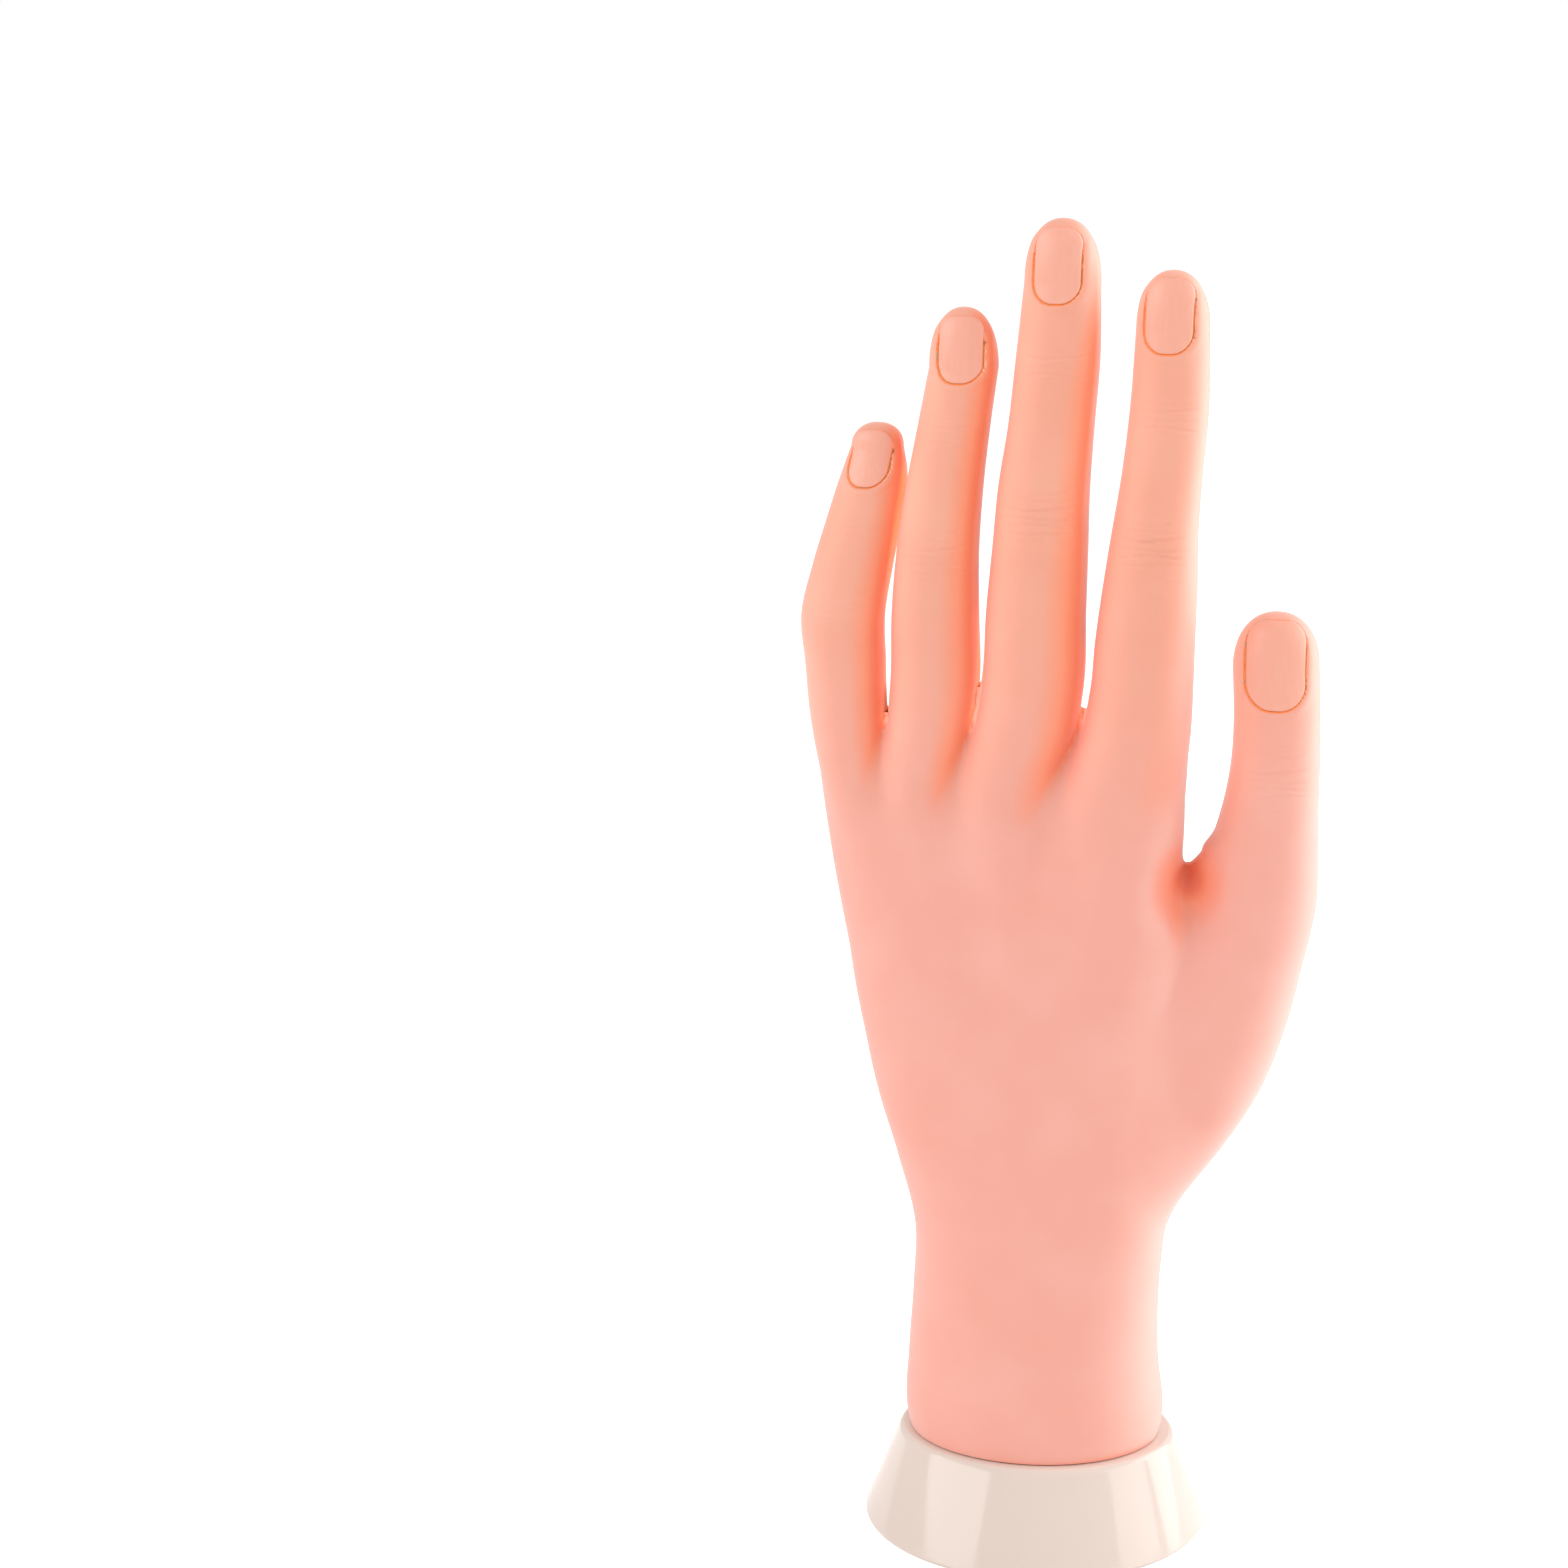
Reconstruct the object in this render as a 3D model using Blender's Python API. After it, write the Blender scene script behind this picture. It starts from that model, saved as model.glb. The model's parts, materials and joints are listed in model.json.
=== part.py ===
"""Nail practice hand: a soft left hand on a round base, with posable fingers.

The skin is a soft vinyl casting over a jointed core. A flat palm core stands on a plug in the
wrist and carries five jointed fingers. Every hinge is a pin across the finger: the lower piece
is a fork, the upper piece is a tongue in it, and friction holds the pose. The casting is one
piece on the real hand. Here it is parted at each hinge, on a round face about the pin, so that
the parts between the hinges stay rigid.

Sizes are in millimetres and become metres where a mesh is made. +Z is up through the fingers,
-Y is the back of the hand with the nails, +X is the thumb's side. The origin is the centre of
the flat underside of the base.
"""

import math

import bmesh
import bpy

METRES = 0.001

# Base
BASE_FOOT_RADIUS = 32.5
BASE_HEIGHT = 17.5
BASE_LEDGE = 1.0
BASE_EDGE_ROUND = 1.6
BASE_WALL = 3.0
BASE_DECK = 4.0
PLATE_EDGE = 5.0
PLATE_RADIUS = BASE_FOOT_RADIUS - PLATE_EDGE
PLATE_THICKNESS = 3.0
PLATE_SCREW_INSET = 11.0
PLATE_SCREW_COUNT = 3
BOSS_RADIUS = 3.4

# Wrist plug and palm core
PLUG_HALF_WIDTH = 18.5
PLUG_HALF_DEPTH = 13.5
PLUG_HEIGHT = 36.0
PLUG_SCREW_OFFSET = 11.0
CORE_HALF_DEPTH = 3.8
CORE_TANG_HALF_WIDTH = 9.0
CORE_TANG_DEPTH = 22.0
CORE_NECK_HEIGHT = 52.5
CORE_THUMB_SLOPE = 22.0
CORE_LITTLE_SLOPE = 14.0
CORE_TOP_DROP = 26.4
CORE_SIDE_INSET = 3.2
CORE_PIN_RADIUS = 1.8
CORE_PIN_OFFSET = 5.0
CORE_PIN_SINK = 2.0
ARM_SEAT_DEPTH = 20.0

# Screws
SCREW_RADIUS = 1.3
SCREW_HEAD_RADIUS = 2.4
SCREW_HEAD_HEIGHT = 1.6
SCREW_LENGTH = 9.0
SCREW_SLOT_WIDTH = 0.6
SCREW_SLOT_DEPTH = 0.7
SCREW_SINK = 0.4

# Hinges
BONE_WIDTH = 6.4
BONE_RADIUS = 3.2
TONGUE_WIDTH = 2.4
HINGE_PIN_RADIUS = 1.0
HINGE_CLEARANCE = 0.3
FORK_DEPTH = 4.2
TIP_BONE_LENGTH = 8.0
PIN_OFFSET = 1.0

# Skin
SKIN_GAP = 0.3
BONE_ROOM = 0.4
SPARE_BEND = 4.0
TIP_SQUARENESS = 2.3
TIP_SHIFT = 0.6
TIP_RINGS = (0.4, 0.7, 0.9, 0.98)
ZONE_REACH = 24.0
ZONE_WIDTH = 60.0
ZONE_TURN = 84.0
STUB_LIFT = 0.5
CUTTER_REACH = 4.0

# Nails
NAIL_THICKNESS = 0.9
NAIL_RISE = 0.25
NAIL_EDGE_GAP = 0.4
NAIL_SQUARENESS = 0.55

RING_SIDES = 16
PALM_SIDES = 28
PLATE_SIDES = 40
PIN_SIDES = 10
ARC_STEPS = 6
NAIL_STEPS = 5

# Heights in these tables are from the top face of the base.
# A finger's stations are height, centre x, centre y, half width, half depth, root to tip, and
# its tip rises above the last one. Its hinges are height, furthest tilt back and furthest bend
# in degrees. Its nail is length, distance of the free edge below the tip, and half width.
# Lean is how far the very tip stands off the last station's centre, towards the thumb.
FINGERS = {
    "little": {
        "stations": (
            (94.5, -26.4, 0.6, 7.4, 9.6),
            (112.5, -32.6, 0.5, 7.1, 8.9),
            (127.5, -35.6, 0.3, 6.9, 8.4),
            (137.5, -37.0, 0.2, 6.8, 7.6),
            (148.5, -37.6, 0.0, 7.4, 7.4),
            (158.0, -38.0, -0.2, 7.7, 7.4),
            (166.5, -36.5, 0.8, 7.4, 7.0),
            (175.0, -34.6, 2.0, 6.9, 6.5),
            (183.5, -33.0, 3.2, 6.2, 5.6),
        ),
        "tip_rise": 9.5,
        "hinges": ((144.9, -10.0, 60.0), (158.5, 0.0, 75.0), (175.0, 0.0, 45.0)),
        "nail": (10.0, 3.0, 3.6),
        "lean": -0.6,
    },
    "ring": {
        "stations": (
            (94.5, -17.0, 0.3, 8.0, 10.0),
            (112.5, -22.2, 0.2, 7.7, 9.5),
            (127.5, -23.4, 0.1, 7.7, 9.2),
            (138.5, -21.6, 0.0, 8.1, 8.8),
            (146.5, -20.9, 0.0, 8.2, 8.4),
            (158.5, -20.9, 0.0, 8.1, 8.0),
            (170.5, -20.5, -0.2, 7.6, 7.6),
            (182.5, -19.4, 0.6, 7.1, 6.9),
            (192.5, -18.2, 1.6, 6.7, 6.5),
            (203.5, -16.7, 2.8, 6.3, 5.6),
        ),
        "tip_rise": 10.9,
        "hinges": ((153.5, -10.0, 70.0), (170.5, 0.0, 80.0), (192.5, 0.0, 45.0)),
        "nail": (12.5, 2.9, 4.3),
        "lean": -0.3,
    },
    "middle": {
        "stations": (
            (94.5, -3.0, 0.3, 8.8, 10.4),
            (112.5, -7.0, 0.2, 9.2, 9.9),
            (127.5, -7.2, 0.1, 9.5, 9.8),
            (138.5, -4.2, 0.0, 9.6, 9.4),
            (144.5, -2.9, 0.0, 9.5, 9.2),
            (159.5, -2.6, 0.0, 9.3, 8.9),
            (171.5, -2.0, -0.2, 8.8, 8.4),
            (182.5, -1.5, 0.0, 8.4, 8.0),
            (193.5, -0.4, 1.0, 7.8, 7.3),
            (205.5, 0.5, 2.0, 7.6, 6.8),
            (219.5, 1.4, 3.4, 7.0, 5.8),
        ),
        "tip_rise": 11.4,
        "hinges": ((155.5, -10.0, 70.0), (178.5, 0.0, 80.0), (205.5, 0.0, 45.0)),
        "nail": (14.0, 2.9, 4.6),
        "lean": 0.0,
    },
    "index": {
        "stations": (
            (94.5, 11.0, 0.3, 9.6, 10.4),
            (112.5, 12.6, 0.2, 11.0, 9.9),
            (127.5, 13.8, 0.1, 11.3, 9.8),
            (140.5, 17.0, 0.0, 9.4, 9.2),
            (153.5, 17.4, 0.0, 9.1, 8.8),
            (165.5, 18.2, -0.1, 8.5, 8.2),
            (173.5, 18.7, 0.0, 7.9, 7.8),
            (184.5, 19.7, 0.8, 7.3, 7.0),
            (196.5, 20.7, 1.8, 7.1, 6.6),
            (211.5, 21.4, 3.2, 6.8, 5.7),
        ),
        "tip_rise": 10.6,
        "hinges": ((153.5, -10.0, 70.0), (173.5, 0.0, 80.0), (196.5, 0.0, 45.0)),
        "nail": (13.8, 3.3, 4.6),
        "lean": 0.0,
    },
    "thumb": {
        "stations": (
            (22.5, 8.0, 1.0, 5.0, 6.0),
            (36.5, 12.6, 2.6, 9.0, 9.0),
            (45.5, 16.6, 4.2, 10.2, 10.8),
            (54.5, 21.4, 6.0, 11.4, 12.0),
            (67.5, 28.0, 7.5, 12.2, 13.0),
            (80.5, 32.3, 7.5, 12.5, 13.0),
            (92.5, 35.3, 7.0, 12.2, 12.2),
            (104.5, 38.0, 6.0, 11.7, 10.8),
            (116.5, 39.9, 5.0, 9.8, 9.2),
            (124.5, 40.9, 4.6, 8.7, 8.6),
            (130.5, 41.4, 4.4, 8.2, 8.2),
            (139.5, 41.5, 4.8, 7.9, 7.6),
            (149.5, 41.0, 5.6, 7.9, 6.8),
        ),
        "tip_rise": 11.4,
        "hinges": ((116.5, 0.0, 40.0), (130.5, 0.0, 60.0)),
        "nail": (15.0, 3.9, 5.4),
        "lean": 0.2,
    },
}

# The palm's and wrist's stations, on the same five measures, wrist to knuckles.
PALM_STATIONS = (
    (0.3, -0.4, 0.0, 24.0, 20.0),
    (2.5, -0.4, 0.0, 25.0, 20.8),
    (15.5, -0.8, 0.0, 24.0, 20.0),
    (28.5, -0.6, 0.0, 23.3, 19.0),
    (41.5, -0.2, 0.2, 23.6, 17.8),
    (54.5, -1.2, 0.5, 25.6, 16.2),
    (67.5, -2.9, 0.8, 28.0, 15.2),
    (80.5, -3.9, 1.0, 29.9, 14.3),
    (92.5, -4.8, 1.1, 31.2, 13.4),
    (104.5, -6.1, 1.4, 32.1, 12.1),
    (114.5, -7.4, 1.8, 32.6, 10.4),
    (124.5, -8.0, 2.4, 33.2, 8.0),
    (132.5, -8.2, 2.8, 33.6, 5.8),
    (139.0, -8.4, 2.2, 32.8, 3.6),
    (141.5, -8.4, 2.2, 30.8, 2.0),
)
PALM_SQUARENESS = 2.5

# The palm's mounds and hollows: centre x, centre y and height, reach along X, Y and Z, and rise.
PALM_SWELLS = (
    (17.0, 17.0, 70.5, 15.0, 14.0, 24.0, 3.0),
    (-21.0, 15.0, 68.5, 13.0, 12.0, 28.0, 2.2),
    (-4.0, 15.0, 88.5, 13.0, 10.0, 20.0, -2.2),
)

# The palm's top edge from the little finger to the thumb: x, and how far that web lies above or
# below the last stations. The change comes in over the last of the palm's height.
WEB_LEVELS = ((-45.0, -4.5), (-29.6, -3.4), (-12.6, 0.6), (7.3, -0.9), (30.0, -2.5))
WEB_LEVELS_START = 122.5
WEB_LEVELS_END = 134.5

# The web of skin between the thumb and the palm.
WEB_STATIONS = (
    (74.5, 24.0, 4.0, 8.0, 8.0),
    (94.5, 26.5, 3.0, 8.0, 6.5),
    (102.5, 27.0, 2.8, 7.0, 5.5),
    (106.0, 26.0, 2.6, 5.0, 3.0),
)

COLOURS = {
    "skin": ((1.0, 0.42, 0.29), 0.45, 0.0),
    "nail": ((1.0, 0.36, 0.25), 0.3, 0.0),
    "base": ((0.86, 0.78, 0.70), 0.15, 0.0),
    "core": ((0.80, 0.78, 0.72), 0.5, 0.0),
    "steel": ((0.62, 0.63, 0.65), 0.3, 1.0),
}


def material(name):
    """The Principled material of one kind of piece."""
    found = bpy.data.materials.get(name)
    if found:
        return found
    colour, roughness, metallic = COLOURS[name]
    made = bpy.data.materials.new(name)
    made.use_nodes = True
    shader = made.node_tree.nodes["Principled BSDF"]
    shader.inputs["Base Color"].default_value = (*colour, 1.0)
    shader.inputs["Roughness"].default_value = roughness
    shader.inputs["Metallic"].default_value = metallic
    return made


def put(name, bm, finish, parent=None, origin=(0.0, 0.0, 0.0)):
    """Makes an object from a bmesh in millimetres, with its origin at the given point.
    With no finish it is a cutter."""
    bm.normal_update()
    bmesh.ops.recalc_face_normals(bm, faces=bm.faces)
    for vert in bm.verts:
        vert.co = [(vert.co[i] - origin[i]) * METRES for i in range(3)]
    mesh = bpy.data.meshes.new(name)
    bm.to_mesh(mesh)
    bm.free()
    obj = bpy.data.objects.new(name, mesh)
    obj.location = [value * METRES for value in origin]
    if finish:
        mesh.materials.append(material(finish))
        parts.objects.link(obj)
        mesh.shade_smooth()
        mesh.set_sharp_from_angle(angle=math.radians(40.0))
    else:
        cutters.objects.link(obj)
        obj.hide_render = True
        obj.display_type = "WIRE"
    if parent:
        obj.parent = parent
        obj.matrix_parent_inverse = parent.matrix_world.inverted()
    return obj


def boolean(obj, other, operation, solver="EXACT"):
    """Adds a Boolean of another object to this one."""
    modifier = obj.modifiers.new(other.name, "BOOLEAN")
    modifier.operation = operation
    modifier.solver = solver
    modifier.object = other


def loft(rings):
    """A closed skin over rings of points that all have the same count."""
    bm = bmesh.new()
    rows = [[bm.verts.new(point) for point in ring] for ring in rings]
    for low, high in zip(rows, rows[1:]):
        for i, vert in enumerate(low):
            after = (i + 1) % len(low)
            bm.faces.new((vert, low[after], high[after], high[i]))
    bm.faces.new(rows[0][::-1])
    bm.faces.new(rows[-1])
    return bm


def oval(height, x, y, half_width, half_depth, sides=RING_SIDES, power=2.0):
    """One level ring: an ellipse, or a squarer oval with a higher power."""
    ring = []
    for i in range(sides):
        turn = 2.0 * math.pi * (i + 0.5) / sides
        across, along = math.cos(turn), math.sin(turn)
        grow = (abs(across) ** power + abs(along) ** power) ** (-1.0 / power)
        ring.append((x + half_width * grow * across, y + half_depth * grow * along, height))
    return ring


def from_floor(measures):
    """Stations or hinges with their heights counted from the floor."""
    return tuple((height + BASE_HEIGHT, *others) for height, *others in measures)


def station_at(stations, height):
    """The five measures at a height, on straight lines between the stations."""
    low, high = stations[0], stations[-1]
    if height <= low[0]:
        return low
    for low, high in zip(stations, stations[1:]):
        if height <= high[0]:
            share = (height - low[0]) / (high[0] - low[0])
            return tuple(a + (b - a) * share for a, b in zip(low, high))
    return high


def smooth(value, start, end):
    """0 up to the start and 1 from the end on, with a soft rise between."""
    share = min(max((value - start) / (end - start), 0.0), 1.0)
    return share * share * (3.0 - 2.0 * share)


def web_level(x):
    """How far the palm's top edge lies above or below its stations at x."""
    for (low, first), (high, last) in zip(WEB_LEVELS, WEB_LEVELS[1:]):
        if x <= high:
            share = max((x - low) / (high - low), 0.0)
            return first + (last - first) * share
    return last


def shaped(ring):
    """A palm ring with the palm's mounds, its hollow and the webs' own levels."""
    middle_x = sum(point[0] for point in ring) / len(ring)
    middle_y = sum(point[1] for point in ring) / len(ring)
    result = []
    for x, y, z in ring:
        height = z - BASE_HEIGHT
        rise = 0.0
        for at_x, at_y, at_z, wide, deep, tall, most in PALM_SWELLS:
            far = ((x - at_x) / wide) ** 2 + ((y - at_y) / deep) ** 2 + ((height - at_z) / tall) ** 2
            rise += most * math.exp(-far)
        off_x, off_y = x - middle_x, y - middle_y
        grow = 1.0 + rise / math.hypot(off_x, off_y)
        lift = web_level(x) * smooth(height, WEB_LEVELS_START, WEB_LEVELS_END)
        result.append((middle_x + off_x * grow, middle_y + off_y * grow, z + lift))
    return result


def finger_rings(finger):
    """A whole finger's rings, closed by a rounded tip."""
    stations = finger["stations"]
    rings = [oval(*station) for station in stations]
    height = stations[-1][0]
    for share in TIP_RINGS:
        rings.append(oval(*tip_station(finger, height + finger["tip_rise"] * share)))
    return rings


def prism(outline, x, width):
    """An outline of (y, z) points pulled along X."""
    return loft([[(x + side, y, z) for y, z in outline] for side in (-0.5 * width, 0.5 * width)])


def bar(low, knee, high, radius, width):
    """A flat bar with round ends about its first and last points. It leans as far as the knee,
    where it turns upright."""
    start, end = arc(low[1:], radius, -90.0, 90.0), arc(high[1:], radius, 90.0, 270.0)
    palm_knee, back_knee = (knee[1] + radius, knee[2]), (knee[1] - radius, knee[2])
    bm = bmesh.new()
    sides = []
    for side in (-0.5 * width, 0.5 * width):
        first = [bm.verts.new((low[0] + side, y, z)) for y, z in start]
        palm, back = (bm.verts.new((knee[0] + side, y, z)) for y, z in (palm_knee, back_knee))
        last = [bm.verts.new((high[0] + side, y, z)) for y, z in end]
        bm.faces.new(first)
        bm.faces.new((first[0], first[-1], palm, back))
        bm.faces.new((back, palm, last[0], last[-1]))
        bm.faces.new(last)
        sides.append(first + [palm] + last + [back])
    for i, vert in enumerate(sides[0]):
        after = (i + 1) % len(sides[0])
        bm.faces.new((vert, sides[1][i], sides[1][after], sides[0][after]))
    return bm


def box(low, high):
    bm = bmesh.new()
    bmesh.ops.create_cube(bm, size=1.0)
    for vert in bm.verts:
        vert.co = [low[i] if vert.co[i] < 0.0 else high[i] for i in range(3)]
    return bm


def cylinder(centre, axis, radius, length, sides=PIN_SIDES):
    """A cylinder about a point, along X, Y or Z."""
    bm = bmesh.new()
    bmesh.ops.create_cone(
        bm, cap_ends=True, segments=sides, radius1=radius, radius2=radius, depth=length
    )
    for vert in bm.verts:
        x, y, z = vert.co
        turned = {"X": (z, x, y), "Y": (x, z, y), "Z": (x, y, z)}[axis]
        vert.co = [centre[i] + turned[i] for i in range(3)]
    return bm


def arc(centre, radius, start, end, steps=ARC_STEPS):
    """Points (y, z) on an arc. Angles run from straight down, towards the palm."""
    points = []
    for i in range(steps + 1):
        turn = math.radians(start + (end - start) * i / steps)
        points.append((centre[0] + radius * math.sin(turn), centre[1] - radius * math.cos(turn)))
    return points


def pivot(finger, number):
    """The centre of a hinge pin."""
    height = finger["hinges"][number][0]
    _, x, y, _, _ = station_at(finger["stations"], height)
    return x, y + PIN_OFFSET, height


def face_radius(finger, number):
    """The radius of the round face on which the skin parts at a hinge, so that the lengths of
    skin above and below it clear each other at the furthest bend."""
    height, _, bend = finger["hinges"][number]
    free = math.radians(0.5 * (180.0 - bend - SPARE_BEND))
    return station_at(finger["stations"], height)[4] / math.sin(free)


def pin_hole(name, centre, width):
    hole = cylinder(centre, "X", HINGE_PIN_RADIUS + 0.5 * HINGE_CLEARANCE, width)
    return put(name, hole, None)


def cut_fork(obj, name, centre):
    """Cuts the slot for a tongue and the pin's hole through a piece's upper end."""
    x, y, z = centre
    half = 0.5 * TONGUE_WIDTH + HINGE_CLEARANCE
    reach = 3.0 * BONE_RADIUS
    slot = box((x - half, y - reach, z - FORK_DEPTH), (x + half, y + reach, z + reach))
    boolean(obj, put(f"{name}_slot", slot, None), "DIFFERENCE")
    boolean(obj, pin_hole(f"{name}_hole", centre, 2.0 * BONE_WIDTH), "DIFFERENCE")


def cut_tongue(obj, name, centre):
    """Thins a piece's lower end to a tongue and drills it."""
    x, y, z = centre
    reach = 3.0 * BONE_RADIUS
    for side in (-1.0, 1.0):
        near, far = x + side * 0.5 * TONGUE_WIDTH, x + side * 2.0 * BONE_WIDTH
        cheek = box(
            (min(near, far), y - reach, z - reach), (max(near, far), y + reach, z + FORK_DEPTH)
        )
        boolean(obj, put(f"{name}_cheek_{side:.0f}", cheek, None), "DIFFERENCE")
    boolean(obj, pin_hole(f"{name}_tongue_hole", centre, 2.0 * BONE_WIDTH), "DIFFERENCE")


def hinge_empty(name, centre):
    """The empty that a hinge's moving pieces turn with."""
    empty = bpy.data.objects.new(name, None)
    empty.location = [value * METRES for value in centre]
    empty.empty_display_size = 0.01
    parts.objects.link(empty)
    bpy.context.view_layer.update()
    return empty


def make_bone(name, finger, number, parent):
    """The bar between two hinges, or from the last hinge into the fingertip. It returns the
    cutter for the room that it needs in the skin."""
    low = pivot(finger, number)
    last = number == len(finger["hinges"]) - 1
    if last:
        height, x, y, _, _ = station_at(finger["stations"], low[2] + TIP_BONE_LENGTH)
        high = (x, y + PIN_OFFSET, height)
        knee = [0.5 * (a + b) for a, b in zip(low, high)]
    else:
        high = pivot(finger, number + 1)
        drop = high[2] - face_radius(finger, number + 1) - SKIN_GAP
        knee = (high[0], high[1], max(drop, low[2] + 1.0))
    bone = put(name, bar(low, knee, high, BONE_RADIUS, BONE_WIDTH), "core", parent, low)
    cut_tongue(bone, name, low)
    if not last:
        cut_fork(bone, name, high)
    width = BONE_WIDTH + 2.0 * BONE_ROOM
    return put(f"{name}_room", bar(low, knee, high, BONE_RADIUS + BONE_ROOM, width), None)


def make_pin(name, centre, parent):
    length = BONE_WIDTH + BONE_ROOM
    return put(name, cylinder(centre, "X", HINGE_PIN_RADIUS, length), "steel", parent, centre)


def swing_room(name, centre, radius, back, bend):
    """The room that the piece below a hinge needs inside the skin above it as the hinge turns."""
    half = BONE_RADIUS + BONE_ROOM
    far = radius + CUTTER_REACH
    edge = math.degrees(math.asin(half / far))
    outline = arc(centre[1:], far, back - edge, bend + edge)
    outline += arc(centre[1:], half, bend + 90.0, back + 270.0)
    return put(name, prism(outline, centre[0], BONE_WIDTH + 2.0 * BONE_ROOM), None)


def skin_zone(finger, number, bottom):
    """The outline (y, z) that one length of skin fills, between the round faces at its hinges.
    Number -1 is the stub on the palm, which starts flat at the bottom height."""
    if number < 0:
        outline = [(-ZONE_REACH, bottom), (ZONE_REACH, bottom)]
    else:
        centre, radius = pivot(finger, number), face_radius(finger, number)
        outline = [(-ZONE_REACH, centre[2]), (centre[1] - radius, centre[2])]
        outline += arc(centre[1:], radius, -ZONE_TURN, ZONE_TURN, 2 * ARC_STEPS)
        outline += [(centre[1] + radius, centre[2]), (ZONE_REACH, centre[2])]
    if number == len(finger["hinges"]) - 1:
        top = finger["stations"][-1][0] + 2.0 * finger["tip_rise"]
        return outline + [(ZONE_REACH, top), (-ZONE_REACH, top)]
    centre = pivot(finger, number + 1)
    radius = face_radius(finger, number + 1) + SKIN_GAP
    outline += [(ZONE_REACH, centre[2]), (centre[1] + radius, centre[2])]
    outline += arc(centre[1:], radius, ZONE_TURN, -ZONE_TURN, 2 * ARC_STEPS)
    return outline + [(centre[1] - radius, centre[2]), (-ZONE_REACH, centre[2])]


def nail_shape(finger, edge, outer, inner):
    """A nail plate on the back of the fingertip. Edge grows its outline, and outer and inner are
    how far its two faces lie outside the skin."""
    length, below_tip, half_width = finger["nail"]
    last = finger["stations"][-1][0]
    middle = last + finger["tip_rise"] - below_tip - 0.5 * length
    half_length = 0.5 * length + edge
    bm = bmesh.new()
    bmesh.ops.create_grid(bm, x_segments=NAIL_STEPS, y_segments=NAIL_STEPS, size=1.0)
    for vert in bm.verts:
        u, v, _ = vert.co
        round_u = u * math.sqrt(1.0 - 0.5 * v * v)
        round_v = v * math.sqrt(1.0 - 0.5 * u * u)
        u = round_u + (u - round_u) * NAIL_SQUARENESS
        v = round_v + (v - round_v) * NAIL_SQUARENESS
        height = middle + half_length * v
        across = (half_width + edge) * u
        station = tip_station(finger, min(height, last + 0.55 * finger["tip_rise"]))
        lean = min(0.96, abs(across) / station[3])
        depth = station[2] - station[4] * math.sqrt(1.0 - lean * lean)
        vert.co = (station[1] + across, depth, height)
    faces = bm.faces[:]
    grown = bmesh.ops.extrude_face_region(bm, geom=faces)["geom"]
    top = {item for item in grown if isinstance(item, bmesh.types.BMVert)}
    for vert in bm.verts:
        vert.co.y -= outer if vert in top else inner
    return bm


def tip_station(finger, height):
    """The five measures in the rounded tip above the last station, or below it."""
    last = finger["stations"][-1]
    if height <= last[0]:
        return station_at(finger["stations"], height)
    share = min(TIP_RINGS[-1], (height - last[0]) / finger["tip_rise"])
    size = (1.0 - share**TIP_SQUARENESS) ** (1.0 / TIP_SQUARENESS)
    x, y = last[1] + finger["lean"] * share, last[2] + TIP_SHIFT * share
    return height, x, y, last[3] * size, last[4] * size


def make_finger(name, finger):
    """All the pieces of one finger above the palm."""
    hinges = finger["hinges"]
    words = ["root", "middle", "tip"] if len(hinges) == 3 else ["root", "tip"]
    parent = None
    for number, word in enumerate(words):
        centre = pivot(finger, number)
        make_pin(f"{name}_{word}_pin", centre, parent)
        empty = hinge_empty(f"{name}_{word}_hinge", centre)
        if parent:
            empty.parent = parent
            empty.matrix_parent_inverse = parent.matrix_world.inverted()
            bpy.context.view_layer.update()
        parent = empty
        room = make_bone(f"{name}_{word}_bone", finger, number, parent)
        skin = put(f"{name}_{word}_skin", loft(finger_rings(finger)), "skin", parent, centre)
        zone = prism(skin_zone(finger, number, 0.0), centre[0], ZONE_WIDTH)
        boolean(skin, put(f"{name}_{word}_zone", zone, None), "INTERSECT")
        boolean(skin, room, "DIFFERENCE")
        radius = face_radius(finger, number)
        swing = swing_room(f"{name}_{word}_swing", centre, radius, *hinges[number][1:])
        boolean(skin, swing, "DIFFERENCE")
    floor = NAIL_RISE - NAIL_THICKNESS - SKIN_GAP
    seat = nail_shape(finger, NAIL_EDGE_GAP, CUTTER_REACH, floor)
    boolean(skin, put(f"{name}_nail_seat", seat, None), "DIFFERENCE")
    plate = nail_shape(finger, 0.0, NAIL_RISE, NAIL_RISE - NAIL_THICKNESS)
    put(f"{name}_nail", plate, "nail", parent, centre)


def core_edges():
    """The height of the palm core's top, below the lowest root hinge of the four fingers, and
    the places of its two sides, inside the palm's skin."""
    roots = [finger["hinges"][0][0] for name, finger in hand.items() if name != "thumb"]
    top = min(roots) - CORE_TOP_DROP
    palm = from_floor(PALM_STATIONS)
    _, x, _, half_width, _ = station_at(palm, top - CORE_LITTLE_SLOPE)
    half = half_width - CORE_SIDE_INSET
    return top, x - half, x + half


def core_shape(grow):
    """The palm core's plate with its tang, grown all round by a clearance."""
    top, left, right = core_edges()
    half = CORE_HALF_DEPTH + grow
    tang = CORE_TANG_HALF_WIDTH + grow
    tang_low = BASE_HEIGHT + PLUG_HEIGHT - CORE_TANG_DEPTH - grow
    neck = BASE_HEIGHT + CORE_NECK_HEIGHT
    outline = (
        (-tang, tang_low),
        (tang, tang_low),
        (tang, neck),
        (right + grow, neck + CORE_THUMB_SLOPE),
        (right + grow, top + grow),
        (left - grow, top + grow),
        (left - grow, top - CORE_LITTLE_SLOPE),
        (-tang, neck),
    )
    rings = [[(x, PIN_OFFSET + side, z) for x, z in outline] for side in (-half, half)]
    return loft(rings)


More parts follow.
